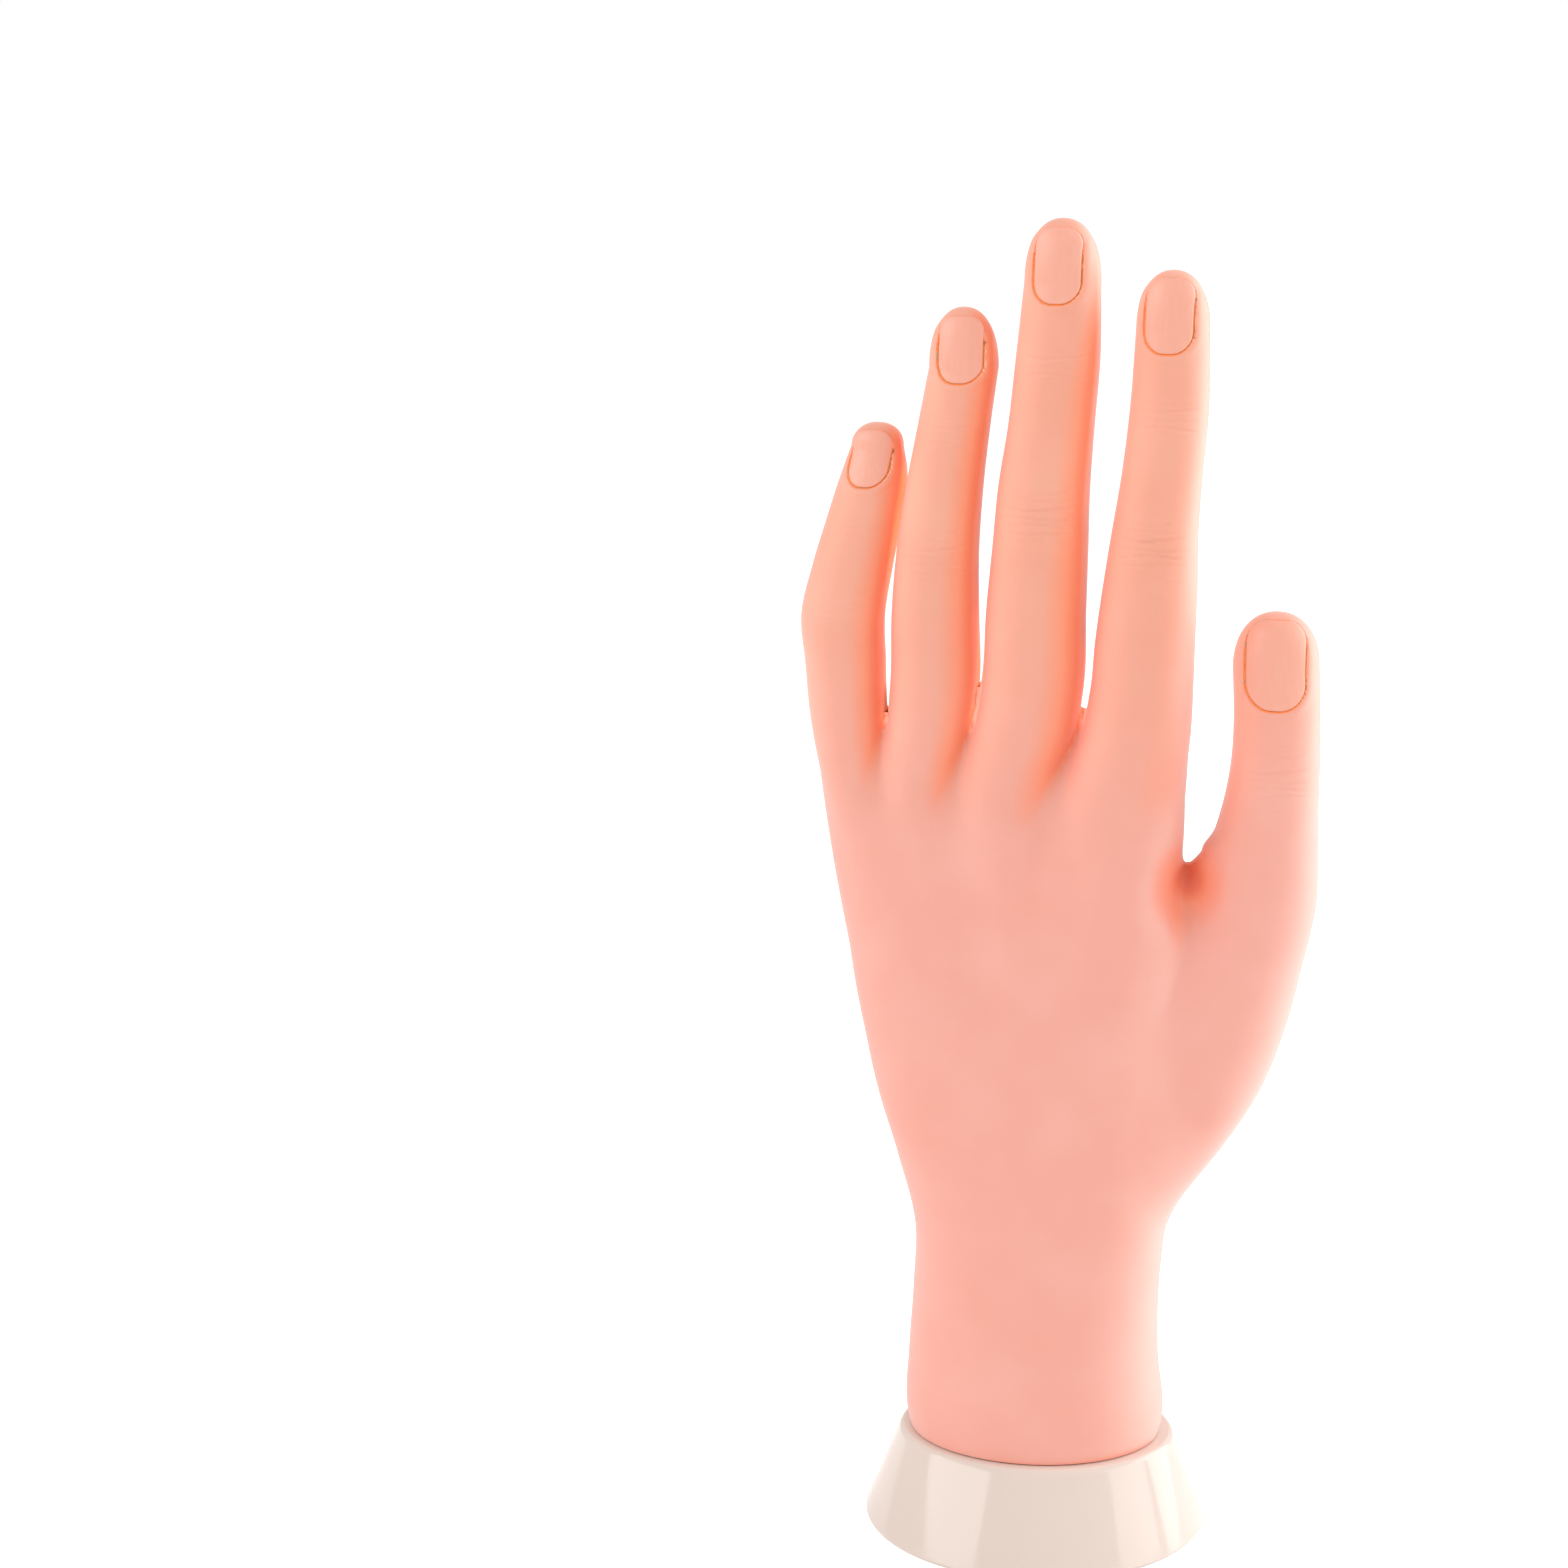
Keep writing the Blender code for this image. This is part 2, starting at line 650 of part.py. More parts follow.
def core_arm(finger, grow):
    """The arm from the palm core to a finger's root hinge, grown all round by a clearance."""
    high = pivot(finger, 0)
    knee = (high[0], high[1], high[2] - face_radius(finger, 0) - SKIN_GAP)
    top, _, right = core_edges()
    start = min(top, knee[2]) - ARM_SEAT_DEPTH
    low_x = min(station_at(finger["stations"], start)[1], right - BONE_WIDTH)
    low = (low_x, PIN_OFFSET, start)
    return bar(low, knee, high, BONE_RADIUS + grow, BONE_WIDTH + 2.0 * grow)


def make_core():
    """The palm core: its plate with its tang, an arm with a fork for each finger, and the holes
    for the cross pins."""
    core = put("palm_core", core_shape(0.0), "core")
    for name, finger in hand.items():
        boolean(core, put(f"{name}_arm", core_arm(finger, 0.0), None), "UNION")
    for name, finger in hand.items():
        cut_fork(core, f"{name}_arm", pivot(finger, 0))
    for side, hole in core_pins(HINGE_CLEARANCE).items():
        boolean(core, put(f"core_pin_{side}_hole", hole, None), "DIFFERENCE")


def core_pins(grow):
    """The two cross pins that hold the core's tang in the plug. Grown by a clearance, they are
    the cutters for their holes and run past the plug."""
    height = BASE_HEIGHT + PLUG_HEIGHT - 0.5 * CORE_TANG_DEPTH
    length = 2.0 * (PLUG_HALF_DEPTH - CORE_PIN_SINK)
    if grow:
        length += 2.0 * CUTTER_REACH
    shapes = {}
    for side, x in (("left", -CORE_PIN_OFFSET), ("right", CORE_PIN_OFFSET)):
        shapes[side] = cylinder((x, 0.0, height), "Y", CORE_PIN_RADIUS + grow, length)
    return shapes


def screw(head_at, grow=0.0, below=0.0):
    """A pan-head screw with its head below its shank, grown all round by a clearance and run on
    below its head to make a hole's cutter."""
    x, y, z = head_at
    steps = (
        (SCREW_HEAD_RADIUS + grow, -below),
        (SCREW_HEAD_RADIUS + grow, SCREW_HEAD_HEIGHT + grow),
        (SCREW_RADIUS + grow, SCREW_HEAD_HEIGHT + grow),
        (SCREW_RADIUS + grow, SCREW_LENGTH + grow),
    )
    return loft([oval(z + height, x, y, radius, radius, PIN_SIDES) for radius, height in steps])


def make_screw(name, head_at, holders):
    """A screw with its driver slot, and its hole in each piece that it holds."""
    made = put(name, screw(head_at), "steel", None, head_at)
    x, y, z = head_at
    half, reach = 0.5 * SCREW_SLOT_WIDTH, 2.0 * SCREW_HEAD_RADIUS
    low, high = (x - reach, y - half, z - reach), (x + reach, y + half, z + SCREW_SLOT_DEPTH)
    slot = box(low, high)
    boolean(made, put(f"{name}_driver_slot", slot, None), "DIFFERENCE")
    for holder in holders:
        hole = screw(head_at, HINGE_CLEARANCE, SCREW_LENGTH)
        boolean(holder, put(f"{name}_{holder.name}_hole", hole, None), "DIFFERENCE")


def base_top():
    """The half width and half depth of the base's top, which stands out past the wrist."""
    widest = max(PALM_STATIONS[:2], key=lambda station: station[3])
    return widest[3] + BASE_LEDGE, widest[4] + BASE_LEDGE


def make_base():
    """The round base shell with its plate, plug and screws."""
    foot, top = BASE_FOOT_RADIUS, BASE_HEIGHT
    edge = BASE_EDGE_ROUND
    top_width, top_depth = base_top()
    rings = []
    for share in (0.0, 0.3, 0.7, 1.0):
        turn = 0.5 * math.pi * share
        inset = edge * (1.0 - math.sin(turn))
        lift = edge * (1.0 - math.cos(turn))
        rings.append(oval(lift, 0.0, 0.0, foot - inset, foot - inset, PALM_SIDES))
    for height, inset in ((top - edge, 0.0), (top - 0.3 * edge, 0.3 * edge), (top, edge)):
        rings.append(oval(height, 0.0, 0.0, top_width - inset, top_depth - inset, PALM_SIDES))
    shell = put("base_shell", loft(rings), "base")
    depth = PLATE_THICKNESS + SKIN_GAP
    seat = cylinder((0.0, 0.0, 0.0), "Z", PLATE_RADIUS + SKIN_GAP, 2.0 * depth, PLATE_SIDES)
    boolean(shell, put("plate_seat", seat, None), "DIFFERENCE")
    deck = top - BASE_DECK
    room = [
        oval(height, 0.0, 0.0, half_width, half_depth, PALM_SIDES)
        for height, half_width, half_depth in (
            (PLATE_THICKNESS, PLATE_RADIUS - BASE_WALL, PLATE_RADIUS - BASE_WALL),
            (deck, top_width - 2.0 * BASE_WALL, top_depth - BASE_WALL),
        )
    ]
    boolean(shell, put("base_room", loft(room), None), "DIFFERENCE")
    centre = (0.0, 0.0, 0.5 * PLATE_THICKNESS)
    disc = cylinder(centre, "Z", PLATE_RADIUS, PLATE_THICKNESS, PLATE_SIDES)
    plate = put("base_plate", disc, "base")
    for number in range(PLATE_SCREW_COUNT):
        turn = math.radians(90.0 + 360.0 * number / PLATE_SCREW_COUNT)
        circle = PLATE_RADIUS - PLATE_SCREW_INSET
        x, y = circle * math.cos(turn), circle * math.sin(turn)
        low, high = PLATE_THICKNESS + SKIN_GAP, deck + 0.5 * BASE_DECK
        boss = cylinder((x, y, 0.5 * (low + high)), "Z", BOSS_RADIUS, high - low)
        boolean(shell, put(f"boss_{number + 1}", boss, None), "UNION")
        make_screw(f"plate_screw_{number + 1}", (x, y, SCREW_SINK), (plate, shell))
    plug_low = top + SKIN_GAP
    plug_top = top + PLUG_HEIGHT
    sizes = (PLUG_HALF_WIDTH, PLUG_HALF_DEPTH)
    plug = put(
        "wrist_plug",
        loft([oval(height, 0.0, 0.0, *sizes) for height in (plug_low, plug_top)]),
        "core",
    )
    boolean(plug, put("tang_slot", core_shape(BONE_ROOM), None), "DIFFERENCE")
    for side, shape in core_pins(0.0).items():
        name = f"core_pin_{side}"
        put(name, shape, "steel")
        hole = core_pins(HINGE_CLEARANCE)[side]
        boolean(plug, put(f"{name}_plug_hole", hole, None), "DIFFERENCE")
    for side, x in (("left", -PLUG_SCREW_OFFSET), ("right", PLUG_SCREW_OFFSET)):
        head_at = (x, 0.0, deck - SCREW_HEAD_HEIGHT - SKIN_GAP)
        make_screw(f"plug_screw_{side}", head_at, (shell, plug))


def root_room(name, finger):
    """The round room beside the palm for a root hinge that lies lower than the palm's top."""
    (x, y, z), radius = pivot(finger, 0), face_radius(finger, 0) + 2.0 * SKIN_GAP
    edges = []
    for height in (z - radius, z - 0.5 * radius, z, z + 0.5 * radius):
        _, middle, _, half_width, _ = station_at(finger["stations"], height)
        edges += [middle - half_width - SKIN_GAP, middle + half_width + SKIN_GAP]
    low, high = min(edges), max(edges)
    room = cylinder((0.5 * (low + high), y, z), "X", radius, high - low, 32)
    return put(f"{name}_root_room", room, None)


def make_palm():
    """The palm and wrist skin with the stubs that the fingers stand on."""
    palm = from_floor(PALM_STATIONS)
    rings = [shaped(oval(*station, PALM_SIDES, PALM_SQUARENESS)) for station in palm]
    skin = put("palm_skin", loft(rings), "skin")
    web = loft([oval(*station) for station in from_floor(WEB_STATIONS)])
    boolean(skin, put("thumb_web", web, None), "UNION", "MANIFOLD")
    for name, finger in hand.items():
        stub = put(f"{name}_stub", loft(finger_rings(finger)), None)
        start = finger["stations"][0][0] + STUB_LIFT
        zone = prism(skin_zone(finger, -1, start), pivot(finger, 0)[0], ZONE_WIDTH)
        boolean(stub, put(f"{name}_stub_zone", zone, None), "INTERSECT", "MANIFOLD")
        boolean(skin, stub, "UNION", "MANIFOLD")
    for name in ("little", "thumb"):
        boolean(skin, root_room(name, hand[name]), "DIFFERENCE", "MANIFOLD")
    plug_room = [
        oval(height, 0.0, 0.0, PLUG_HALF_WIDTH + SKIN_GAP, PLUG_HALF_DEPTH + SKIN_GAP)
        for height in (BASE_HEIGHT - CUTTER_REACH, BASE_HEIGHT + PLUG_HEIGHT + SKIN_GAP)
    ]
    boolean(skin, put("plug_room", loft(plug_room), None), "DIFFERENCE", "MANIFOLD")
    boolean(skin, put("core_room", core_shape(BONE_ROOM), None), "DIFFERENCE", "MANIFOLD")
    for name, finger in hand.items():
        room = put(f"{name}_arm_room", core_arm(finger, BONE_ROOM), None)
        boolean(skin, room, "DIFFERENCE", "MANIFOLD")


for old in list(bpy.data.objects):
    bpy.data.objects.remove(old)
parts = bpy.data.collections.new("nail_practice_hand")
cutters = bpy.data.collections.new("cutters")
for collection in (parts, cutters):
    bpy.context.scene.collection.children.link(collection)

hand = {
    name: {**finger, "stations": from_floor(finger["stations"]), "hinges": from_floor(finger["hinges"])}
    for name, finger in FINGERS.items()
}
make_base()
make_core()
make_palm()
for finger_name, finger_sizes in hand.items():
    make_finger(finger_name, finger_sizes)
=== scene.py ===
import itertools
import json
import math

import bmesh
import bpy
import numpy as np
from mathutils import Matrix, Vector


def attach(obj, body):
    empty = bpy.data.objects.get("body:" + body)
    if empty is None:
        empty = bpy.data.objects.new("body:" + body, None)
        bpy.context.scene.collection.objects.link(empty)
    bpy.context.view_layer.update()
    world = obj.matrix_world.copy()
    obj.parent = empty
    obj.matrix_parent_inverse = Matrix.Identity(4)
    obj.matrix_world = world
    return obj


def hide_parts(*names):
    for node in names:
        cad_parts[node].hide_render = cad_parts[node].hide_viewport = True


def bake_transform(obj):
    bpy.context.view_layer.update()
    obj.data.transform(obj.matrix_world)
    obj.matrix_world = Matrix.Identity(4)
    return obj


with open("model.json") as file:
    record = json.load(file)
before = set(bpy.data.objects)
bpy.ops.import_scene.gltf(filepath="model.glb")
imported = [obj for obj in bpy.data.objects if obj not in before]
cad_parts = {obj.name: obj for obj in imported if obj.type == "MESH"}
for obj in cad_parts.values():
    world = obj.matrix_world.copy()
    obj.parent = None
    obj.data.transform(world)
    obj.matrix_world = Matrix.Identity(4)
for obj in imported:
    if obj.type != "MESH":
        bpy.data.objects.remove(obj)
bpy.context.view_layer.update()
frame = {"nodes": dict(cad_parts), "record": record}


# The camera stands where the photograph's camera stood: a little to the thumb's side, 345 mm up and
# 15 degrees nose down, so that the base shows its round top edge.

scene = bpy.context.scene
camera_data = bpy.data.cameras.new("camera")
camera_data.lens = 96.66
camera_data.sensor_width = 36.0
camera = bpy.data.objects.new("camera", camera_data)
camera.location = (0.078396, -0.745891, 0.345)
camera.rotation_euler = (math.radians(75.0), 0.0, math.radians(9.7))
scene.collection.objects.link(camera)
scene.camera = camera
scene.view_settings.view_transform = "Standard"


# The studio: a white table that runs up into a white wall. Both show plain white to the camera and to
# reflections, and keep the soft shadow under the hand.

WHITE = "#ffffff"
TABLE_SIZE = 3.0
SHADOW_GREY = "#e9e6e4"
TABLE_LIFT = 0.55
SKY_STRENGTH = 0.66


def colour(text):
    """An sRGB hex colour as the linear RGBA that Blender's sockets hold."""
    steps = [int(text[i:i + 2], 16) / 255 for i in (1, 3, 5)]
    return tuple(s / 12.92 if s <= 0.04045 else ((s + 0.055) / 1.055) ** 2.4 for s in steps) + (1.0,)


def add_node(tree, kind, inputs=None, stops=(), **settings):
    """Adds a node with its settings, its inputs, each a value or another node's output, and the
    (position, colour) stops of a colour ramp."""
    node = tree.nodes.new(kind)
    for name, value in settings.items():
        setattr(node, name, value)
    for number, (position, text) in enumerate(stops):
        node.color_ramp.elements[number].position = position
        node.color_ramp.elements[number].color = colour(text)
    for name, value in (inputs or {}).items():
        if isinstance(value, bpy.types.NodeSocket):
            tree.links.new(value, node.inputs[name])
        else:
            node.inputs[name].default_value = value
    return node


def new_material(name):
    """An empty node material and its tree."""
    material = bpy.data.materials.new(name)
    material.use_nodes = True
    material.node_tree.nodes.clear()
    return material, material.node_tree


# White laminate: matt, lifted to plain white where it is looked at straight or in a reflection.
table_white, tree = new_material("white_table_laminate")
rays = add_node(tree, "ShaderNodeLightPath").outputs
seen = rays["Is Camera Ray"]
for ray in ("Is Glossy Ray", "Is Transmission Ray"):
    seen = add_node(tree, "ShaderNodeMath", {0: seen, 1: rays[ray]}, operation="MAXIMUM").outputs[0]
lift = add_node(tree, "ShaderNodeMath", {0: seen, 1: TABLE_LIFT}, operation="MULTIPLY")
laminate = add_node(tree, "ShaderNodeBsdfPrincipled", {
    "Base Color": colour(SHADOW_GREY), "Roughness": 0.9,
    "Emission Color": colour(WHITE), "Emission Strength": lift.outputs[0]})
add_node(tree, "ShaderNodeOutputMaterial", {"Surface": laminate.outputs[0]})

table_mesh = bmesh.new()
bmesh.ops.create_grid(table_mesh, x_segments=2, y_segments=2, size=TABLE_SIZE)
table = bpy.data.objects.new("table", bpy.data.meshes.new("table"))
table_mesh.to_mesh(table.data)
table_mesh.free()
table.data.materials.append(table_white)
scene.collection.objects.link(table)

world = bpy.data.worlds.new("studio")
world.use_nodes = True
world.node_tree.nodes.clear()
scene.world = world
tree = world.node_tree
rays = add_node(tree, "ShaderNodeLightPath").outputs
sky_light, sky_seen = (add_node(tree, "ShaderNodeBackground", {"Color": colour(WHITE), "Strength": strength})
                       for strength in (SKY_STRENGTH, 1.0))
sky = add_node(tree, "ShaderNodeMixShader", {
    "Fac": rays["Is Camera Ray"], 1: sky_light.outputs[0], 2: sky_seen.outputs[0]})
add_node(tree, "ShaderNodeOutputWorld", {"Surface": sky.outputs[0]})


# Lamps: three soft boxes, a broad one at the front left, one at the right, and a tall one at the right
# and behind, which pales the outer edge of the thumb and the index finger.

def soft_box(name, place, target, width, height, watts):
    """A rectangular soft lamp at place that faces target."""
    data = bpy.data.lights.new(name, "AREA")
    data.shape = "RECTANGLE"
    data.size = width
    data.size_y = height
    data.energy = watts
    lamp = bpy.data.objects.new(name, data)
    lamp.location = place
    lamp.rotation_euler = (Vector(target) - Vector(place)).to_track_quat("-Z", "Y").to_euler()
    scene.collection.objects.link(lamp)


MIDDLE_OF_HAND = (0.0, 0.0, 0.13)
soft_box("left_lamp", (-1.15, -0.62, 0.85), MIDDLE_OF_HAND, 1.3, 0.8, 8.4)
soft_box("right_lamp", (1.0, -0.18, 0.55), MIDDLE_OF_HAND, 0.62, 0.8, 3.2)
soft_box("rim_lamp", (0.9, 0.5, 0.42), MIDDLE_OF_HAND, 0.7, 1.1, 7.2)


# The base: a hollow moulding, round at its foot and oval where the wrist stands on it, with a straight
# flared wall. Geometry Nodes turn its profile round the axis, then squeeze each height to its oval.

BASE_SIZES = {"Foot Radius": 0.0327, "Top Half Width": 0.0260, "Top Half Depth": 0.0218, "Height": 0.0175,
              "Top Edge Radius": 0.0011, "Foot Edge Radius": 0.0006, "Seat Radius": 0.0278,
              "Seat Depth": 0.0033, "Core Radius": 0.0005}
BASE_CORNERS = [("Core Radius", "Height"), ("Foot Radius", "Height"), ("Foot Radius", None),
                ("Seat Radius", None), ("Seat Radius", "Seat Depth"), ("Core Radius", "Seat Depth")]
BASE_SIDES = 160
EDGE_STEPS = 10
PAST_SEAT = 0.0002
SMOOTH_UP_TO = math.radians(30.0)

tree = bpy.data.node_groups.new("turned_base", "GeometryNodeTree")
for label, value in BASE_SIZES.items():
    socket = tree.interface.new_socket(label, in_out="INPUT", socket_type="NodeSocketFloat")
    socket.default_value = value
tree.interface.new_socket("Finish", in_out="INPUT", socket_type="NodeSocketMaterial")
tree.interface.new_socket("Body", in_out="OUTPUT", socket_type="NodeSocketGeometry")
turned_base = tree
sizes = add_node(tree, "NodeGroupInput").outputs
corner_line = add_node(tree, "GeometryNodeMeshLine", {"Count": len(BASE_CORNERS)})
corner_number = add_node(tree, "GeometryNodeInputIndex")
corner_place = add_node(tree, "GeometryNodeIndexSwitch", data_type="VECTOR")
corner_round = add_node(tree, "GeometryNodeIndexSwitch", data_type="FLOAT")
for switch in (corner_place, corner_round):
    while len(switch.index_switch_items) < len(BASE_CORNERS):
        switch.index_switch_items.new()
    tree.links.new(corner_number.outputs[0], switch.inputs[0])
for number, (outward, upward) in enumerate(BASE_CORNERS, 1):
    from_circle = add_node(tree, "ShaderNodeMath", {0: sizes[outward], 1: sizes["Foot Radius"]},
                           operation="SUBTRACT")
    corner = add_node(tree, "ShaderNodeCombineXYZ", {"X": from_circle.outputs[0]})
    if upward:
        turned_up = add_node(tree, "ShaderNodeMath", {0: sizes[upward], 1: -1.0}, operation="MULTIPLY")
        tree.links.new(turned_up.outputs[0], corner.inputs["Y"])
    tree.links.new(corner.outputs[0], corner_place.inputs[number])
    if outward == "Foot Radius":
        edge = sizes["Top Edge Radius" if upward else "Foot Edge Radius"]
        tree.links.new(edge, corner_round.inputs[number])
corners = add_node(tree, "GeometryNodeSetPosition", {
    "Geometry": corner_line.outputs[0], "Position": corner_place.outputs[0]})
open_profile = add_node(tree, "GeometryNodeMeshToCurve", {"Mesh": corners.outputs[0]})
sharp_profile = add_node(tree, "GeometryNodeSetSplineCyclic", {
    "Geometry": open_profile.outputs[0], "Cyclic": True})
profile = add_node(tree, "GeometryNodeFilletCurve", {
    "Curve": sharp_profile.outputs[0], "Radius": corner_round.outputs[0], "Count": EDGE_STEPS,
    "Limit Radius": True}, mode="POLY")
circle = add_node(tree, "GeometryNodeCurvePrimitiveCircle", {
    "Radius": sizes["Foot Radius"], "Resolution": BASE_SIDES}, mode="RADIUS")
turned = add_node(tree, "GeometryNodeCurveToMesh", {
    "Curve": circle.outputs[0], "Profile Curve": profile.outputs[0]})
where = add_node(tree, "GeometryNodeInputPosition").outputs[0]
parts = add_node(tree, "ShaderNodeSeparateXYZ", {"Vector": where}).outputs
oval = {"Z": parts["Z"]}
for axis, top_size in (("X", "Top Half Width"), ("Y", "Top Half Depth")):
    ratio = add_node(tree, "ShaderNodeMath", {0: sizes[top_size], 1: sizes["Foot Radius"]},
                     operation="DIVIDE")
    scale = add_node(tree, "ShaderNodeMapRange", {
        "Value": parts["Z"], "From Max": sizes["Height"], "To Min": 1.0, "To Max": ratio.outputs[0]},
        clamp=False)
    squeezed = add_node(tree, "ShaderNodeMath", {0: parts[axis], 1: scale.outputs[0]}, operation="MULTIPLY")
    oval[axis] = squeezed.outputs[0]
oval_place = add_node(tree, "ShaderNodeCombineXYZ", oval)
level = add_node(tree, "ShaderNodeVectorMath", {0: where, 1: (1.0, 1.0, 0.0)}, operation="MULTIPLY")
from_axis = add_node(tree, "ShaderNodeVectorMath", {0: level.outputs[0]}, operation="LENGTH")
wall_start = add_node(tree, "ShaderNodeMath", {0: sizes["Seat Radius"], 1: PAST_SEAT}, operation="ADD")
on_wall = add_node(tree, "ShaderNodeMath", {0: from_axis.outputs["Value"], 1: wall_start.outputs[0]},
                   operation="GREATER_THAN")
flared = add_node(tree, "GeometryNodeSetPosition", {
    "Geometry": turned.outputs[0], "Selection": on_wall.outputs[0], "Position": oval_place.outputs[0]})
rounded = add_node(tree, "GeometryNodeSetShadeSmooth", {"Geometry": flared.outputs[0]})
real = add_node(tree, "GeometryNodeRealizeInstances", {"Geometry": rounded.outputs[0]})
finished = add_node(tree, "GeometryNodeSetMaterial", {
    "Geometry": real.outputs[0], "Material": sizes["Finish"]})
add_node(tree, "NodeGroupOutput", {"Body": finished.outputs[0]})

# Polished cream moulding plastic: a hard clear gloss, a slight flow mottle, and fine scuffs at the foot.
cream, tree = new_material("polished_cream_plastic")
place = add_node(tree, "ShaderNodeTexCoord").outputs["Object"]
flow = add_node(tree, "ShaderNodeTexNoise", {"Vector": place, "Scale": 45.0, "Detail": 2.0}).outputs["Fac"]
tint = add_node(tree, "ShaderNodeValToRGB", {"Fac": flow}, ((0.3, "#e6d5ca"), (0.7, "#ead9ce")))
scuffs = add_node(tree, "ShaderNodeTexNoise", {"Vector": place, "Scale": 900.0, "Detail": 4.0})
parts = add_node(tree, "ShaderNodeSeparateXYZ", {"Vector": place})
foot_wear = add_node(tree, "ShaderNodeMapRange", {
    "Value": parts.outputs["Z"], "From Max": 0.003, "To Min": 0.22, "To Max": 0.03})
gloss = add_node(tree, "ShaderNodeMath", {
    0: scuffs.outputs["Fac"], 1: foot_wear.outputs["Result"], 2: 0.08}, operation="MULTIPLY_ADD")
ripple = add_node(tree, "ShaderNodeBump", {"Height": flow, "Strength": 0.04, "Distance": 0.0004})
shader = add_node(tree, "ShaderNodeBsdfPrincipled", {
    "Base Color": tint.outputs["Color"], "Roughness": gloss.outputs[0],
    "Normal": ripple.outputs["Normal"], "IOR": 1.5})
add_node(tree, "ShaderNodeOutputMaterial", {"Surface": shader.outputs[0]})

base = bpy.data.objects.new("cream_base", bpy.data.meshes.new("cream_base"))
scene.collection.objects.link(base)
modifier = base.modifiers.new("form", "NODES")
modifier.node_group = turned_base
for item in turned_base.interface.items_tree:
    if item.in_out == "INPUT":
        modifier[item.identifier] = cream if item.name == "Finish" else BASE_SIZES[item.name]
mesh = bpy.data.meshes.new_from_object(base.evaluated_get(bpy.context.evaluated_depsgraph_get()))
base.modifiers.remove(modifier)
base.data = mesh
base.data.set_sharp_from_angle(angle=SMOOTH_UP_TO)
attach(base, "hand")
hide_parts("base_shell")


# The base plate: a flat moulding that closes the underside, held up by three screws. Two longer screws
# through the base's floor hold the wrist plug. All five screws are zinc plated steel.

def refinish(names, material):
    """Gives the carried-over pieces of these names a material."""
    for name in names:
        for slot in frame["nodes"][name].material_slots:
            slot.material = material


# Spark-eroded ABS: matt, with the fine even pits of the mould and a slight flow mottle.
plate_abs, tree = new_material("matt_textured_abs")
place = add_node(tree, "ShaderNodeTexCoord").outputs["Object"]
pits = add_node(tree, "ShaderNodeTexNoise", {"Vector": place, "Scale": 1600.0, "Detail": 3.0}).outputs["Fac"]
mottle = add_node(tree, "ShaderNodeTexNoise", {"Vector": place, "Scale": 70.0, "Detail": 2.0})
tint = add_node(tree, "ShaderNodeValToRGB", {"Fac": mottle.outputs["Fac"]},
                ((0.3, "#ded0c5"), (0.7, "#e6d8cd")))
relief = add_node(tree, "ShaderNodeBump", {"Height": pits, "Strength": 0.35, "Distance": 0.0002})
gloss = add_node(tree, "ShaderNodeMapRange", {"Value": pits, "To Min": 0.5, "To Max": 0.7})
shader = add_node(tree, "ShaderNodeBsdfPrincipled", {
    "Base Color": tint.outputs["Color"], "Roughness": gloss.outputs["Result"],
    "Normal": relief.outputs["Normal"], "IOR": 1.5})
add_node(tree, "ShaderNodeOutputMaterial", {"Surface": shader.outputs[0]})
refinish(["base_plate"], plate_abs)

# Bright zinc plate on steel: a cool silver with fine turning lines and faint cloudiness.
zinc, tree = new_material("bright_zinc_plated_steel")
place = add_node(tree, "ShaderNodeTexCoord").outputs["Object"]
turning = add_node(tree, "ShaderNodeTexNoise", {
    "Vector": place, "Scale": 3000.0, "Detail": 2.0}).outputs["Fac"]
bloom = add_node(tree, "ShaderNodeTexNoise", {"Vector": place, "Scale": 500.0, "Detail": 2.0})
tint = add_node(tree, "ShaderNodeValToRGB", {"Fac": bloom.outputs["Fac"]},
                ((0.35, "#b9bdc2"), (0.65, "#cfd2d6")))
relief = add_node(tree, "ShaderNodeBump", {"Height": turning, "Strength": 0.1, "Distance": 0.0001})
gloss = add_node(tree, "ShaderNodeMapRange", {"Value": turning, "To Min": 0.24, "To Max": 0.4})
shader = add_node(tree, "ShaderNodeBsdfPrincipled", {
    "Base Color": tint.outputs["Color"], "Roughness": gloss.outputs["Result"],
    "Normal": relief.outputs["Normal"], "Metallic": 1.0})
add_node(tree, "ShaderNodeOutputMaterial", {"Surface": shader.outputs[0]})
refinish([f"plate_screw_{number}" for number in (1, 2, 3)], zinc)
refinish(["plug_screw_left", "plug_screw_right"], zinc)


# The core: a plug in the wrist, a flat palm plate pinned to it, and in each finger bones that hinge on
# steel pins and stay where they are set. Plug, plate and bones are moulded in natural nylon.

BONES = {"thumb": ("root", "tip"), "index": ("root", "middle", "tip"), "middle": ("root", "middle", "tip"),
         "ring": ("root", "middle", "tip"), "little": ("root", "middle", "tip")}

# Natural nylon: milky off-white with a waxy half gloss and faint flow lines.
nylon, tree = new_material("natural_moulded_nylon")
place = add_node(tree, "ShaderNodeTexCoord").outputs["Object"]
flow = add_node(tree, "ShaderNodeTexNoise", {"Vector": place, "Scale": 90.0, "Detail": 3.0}).outputs["Fac"]
tint = add_node(tree, "ShaderNodeValToRGB", {"Fac": flow}, ((0.3, "#e6e1d4"), (0.7, "#f0ece1")))
relief = add_node(tree, "ShaderNodeBump", {"Height": flow, "Strength": 0.08, "Distance": 0.0003})
gloss = add_node(tree, "ShaderNodeMapRange", {"Value": flow, "To Min": 0.32, "To Max": 0.46})
shader = add_node(tree, "ShaderNodeBsdfPrincipled", {
    "Base Color": tint.outputs["Color"], "Roughness": gloss.outputs["Result"],
    "Normal": relief.outputs["Normal"], "IOR": 1.53})
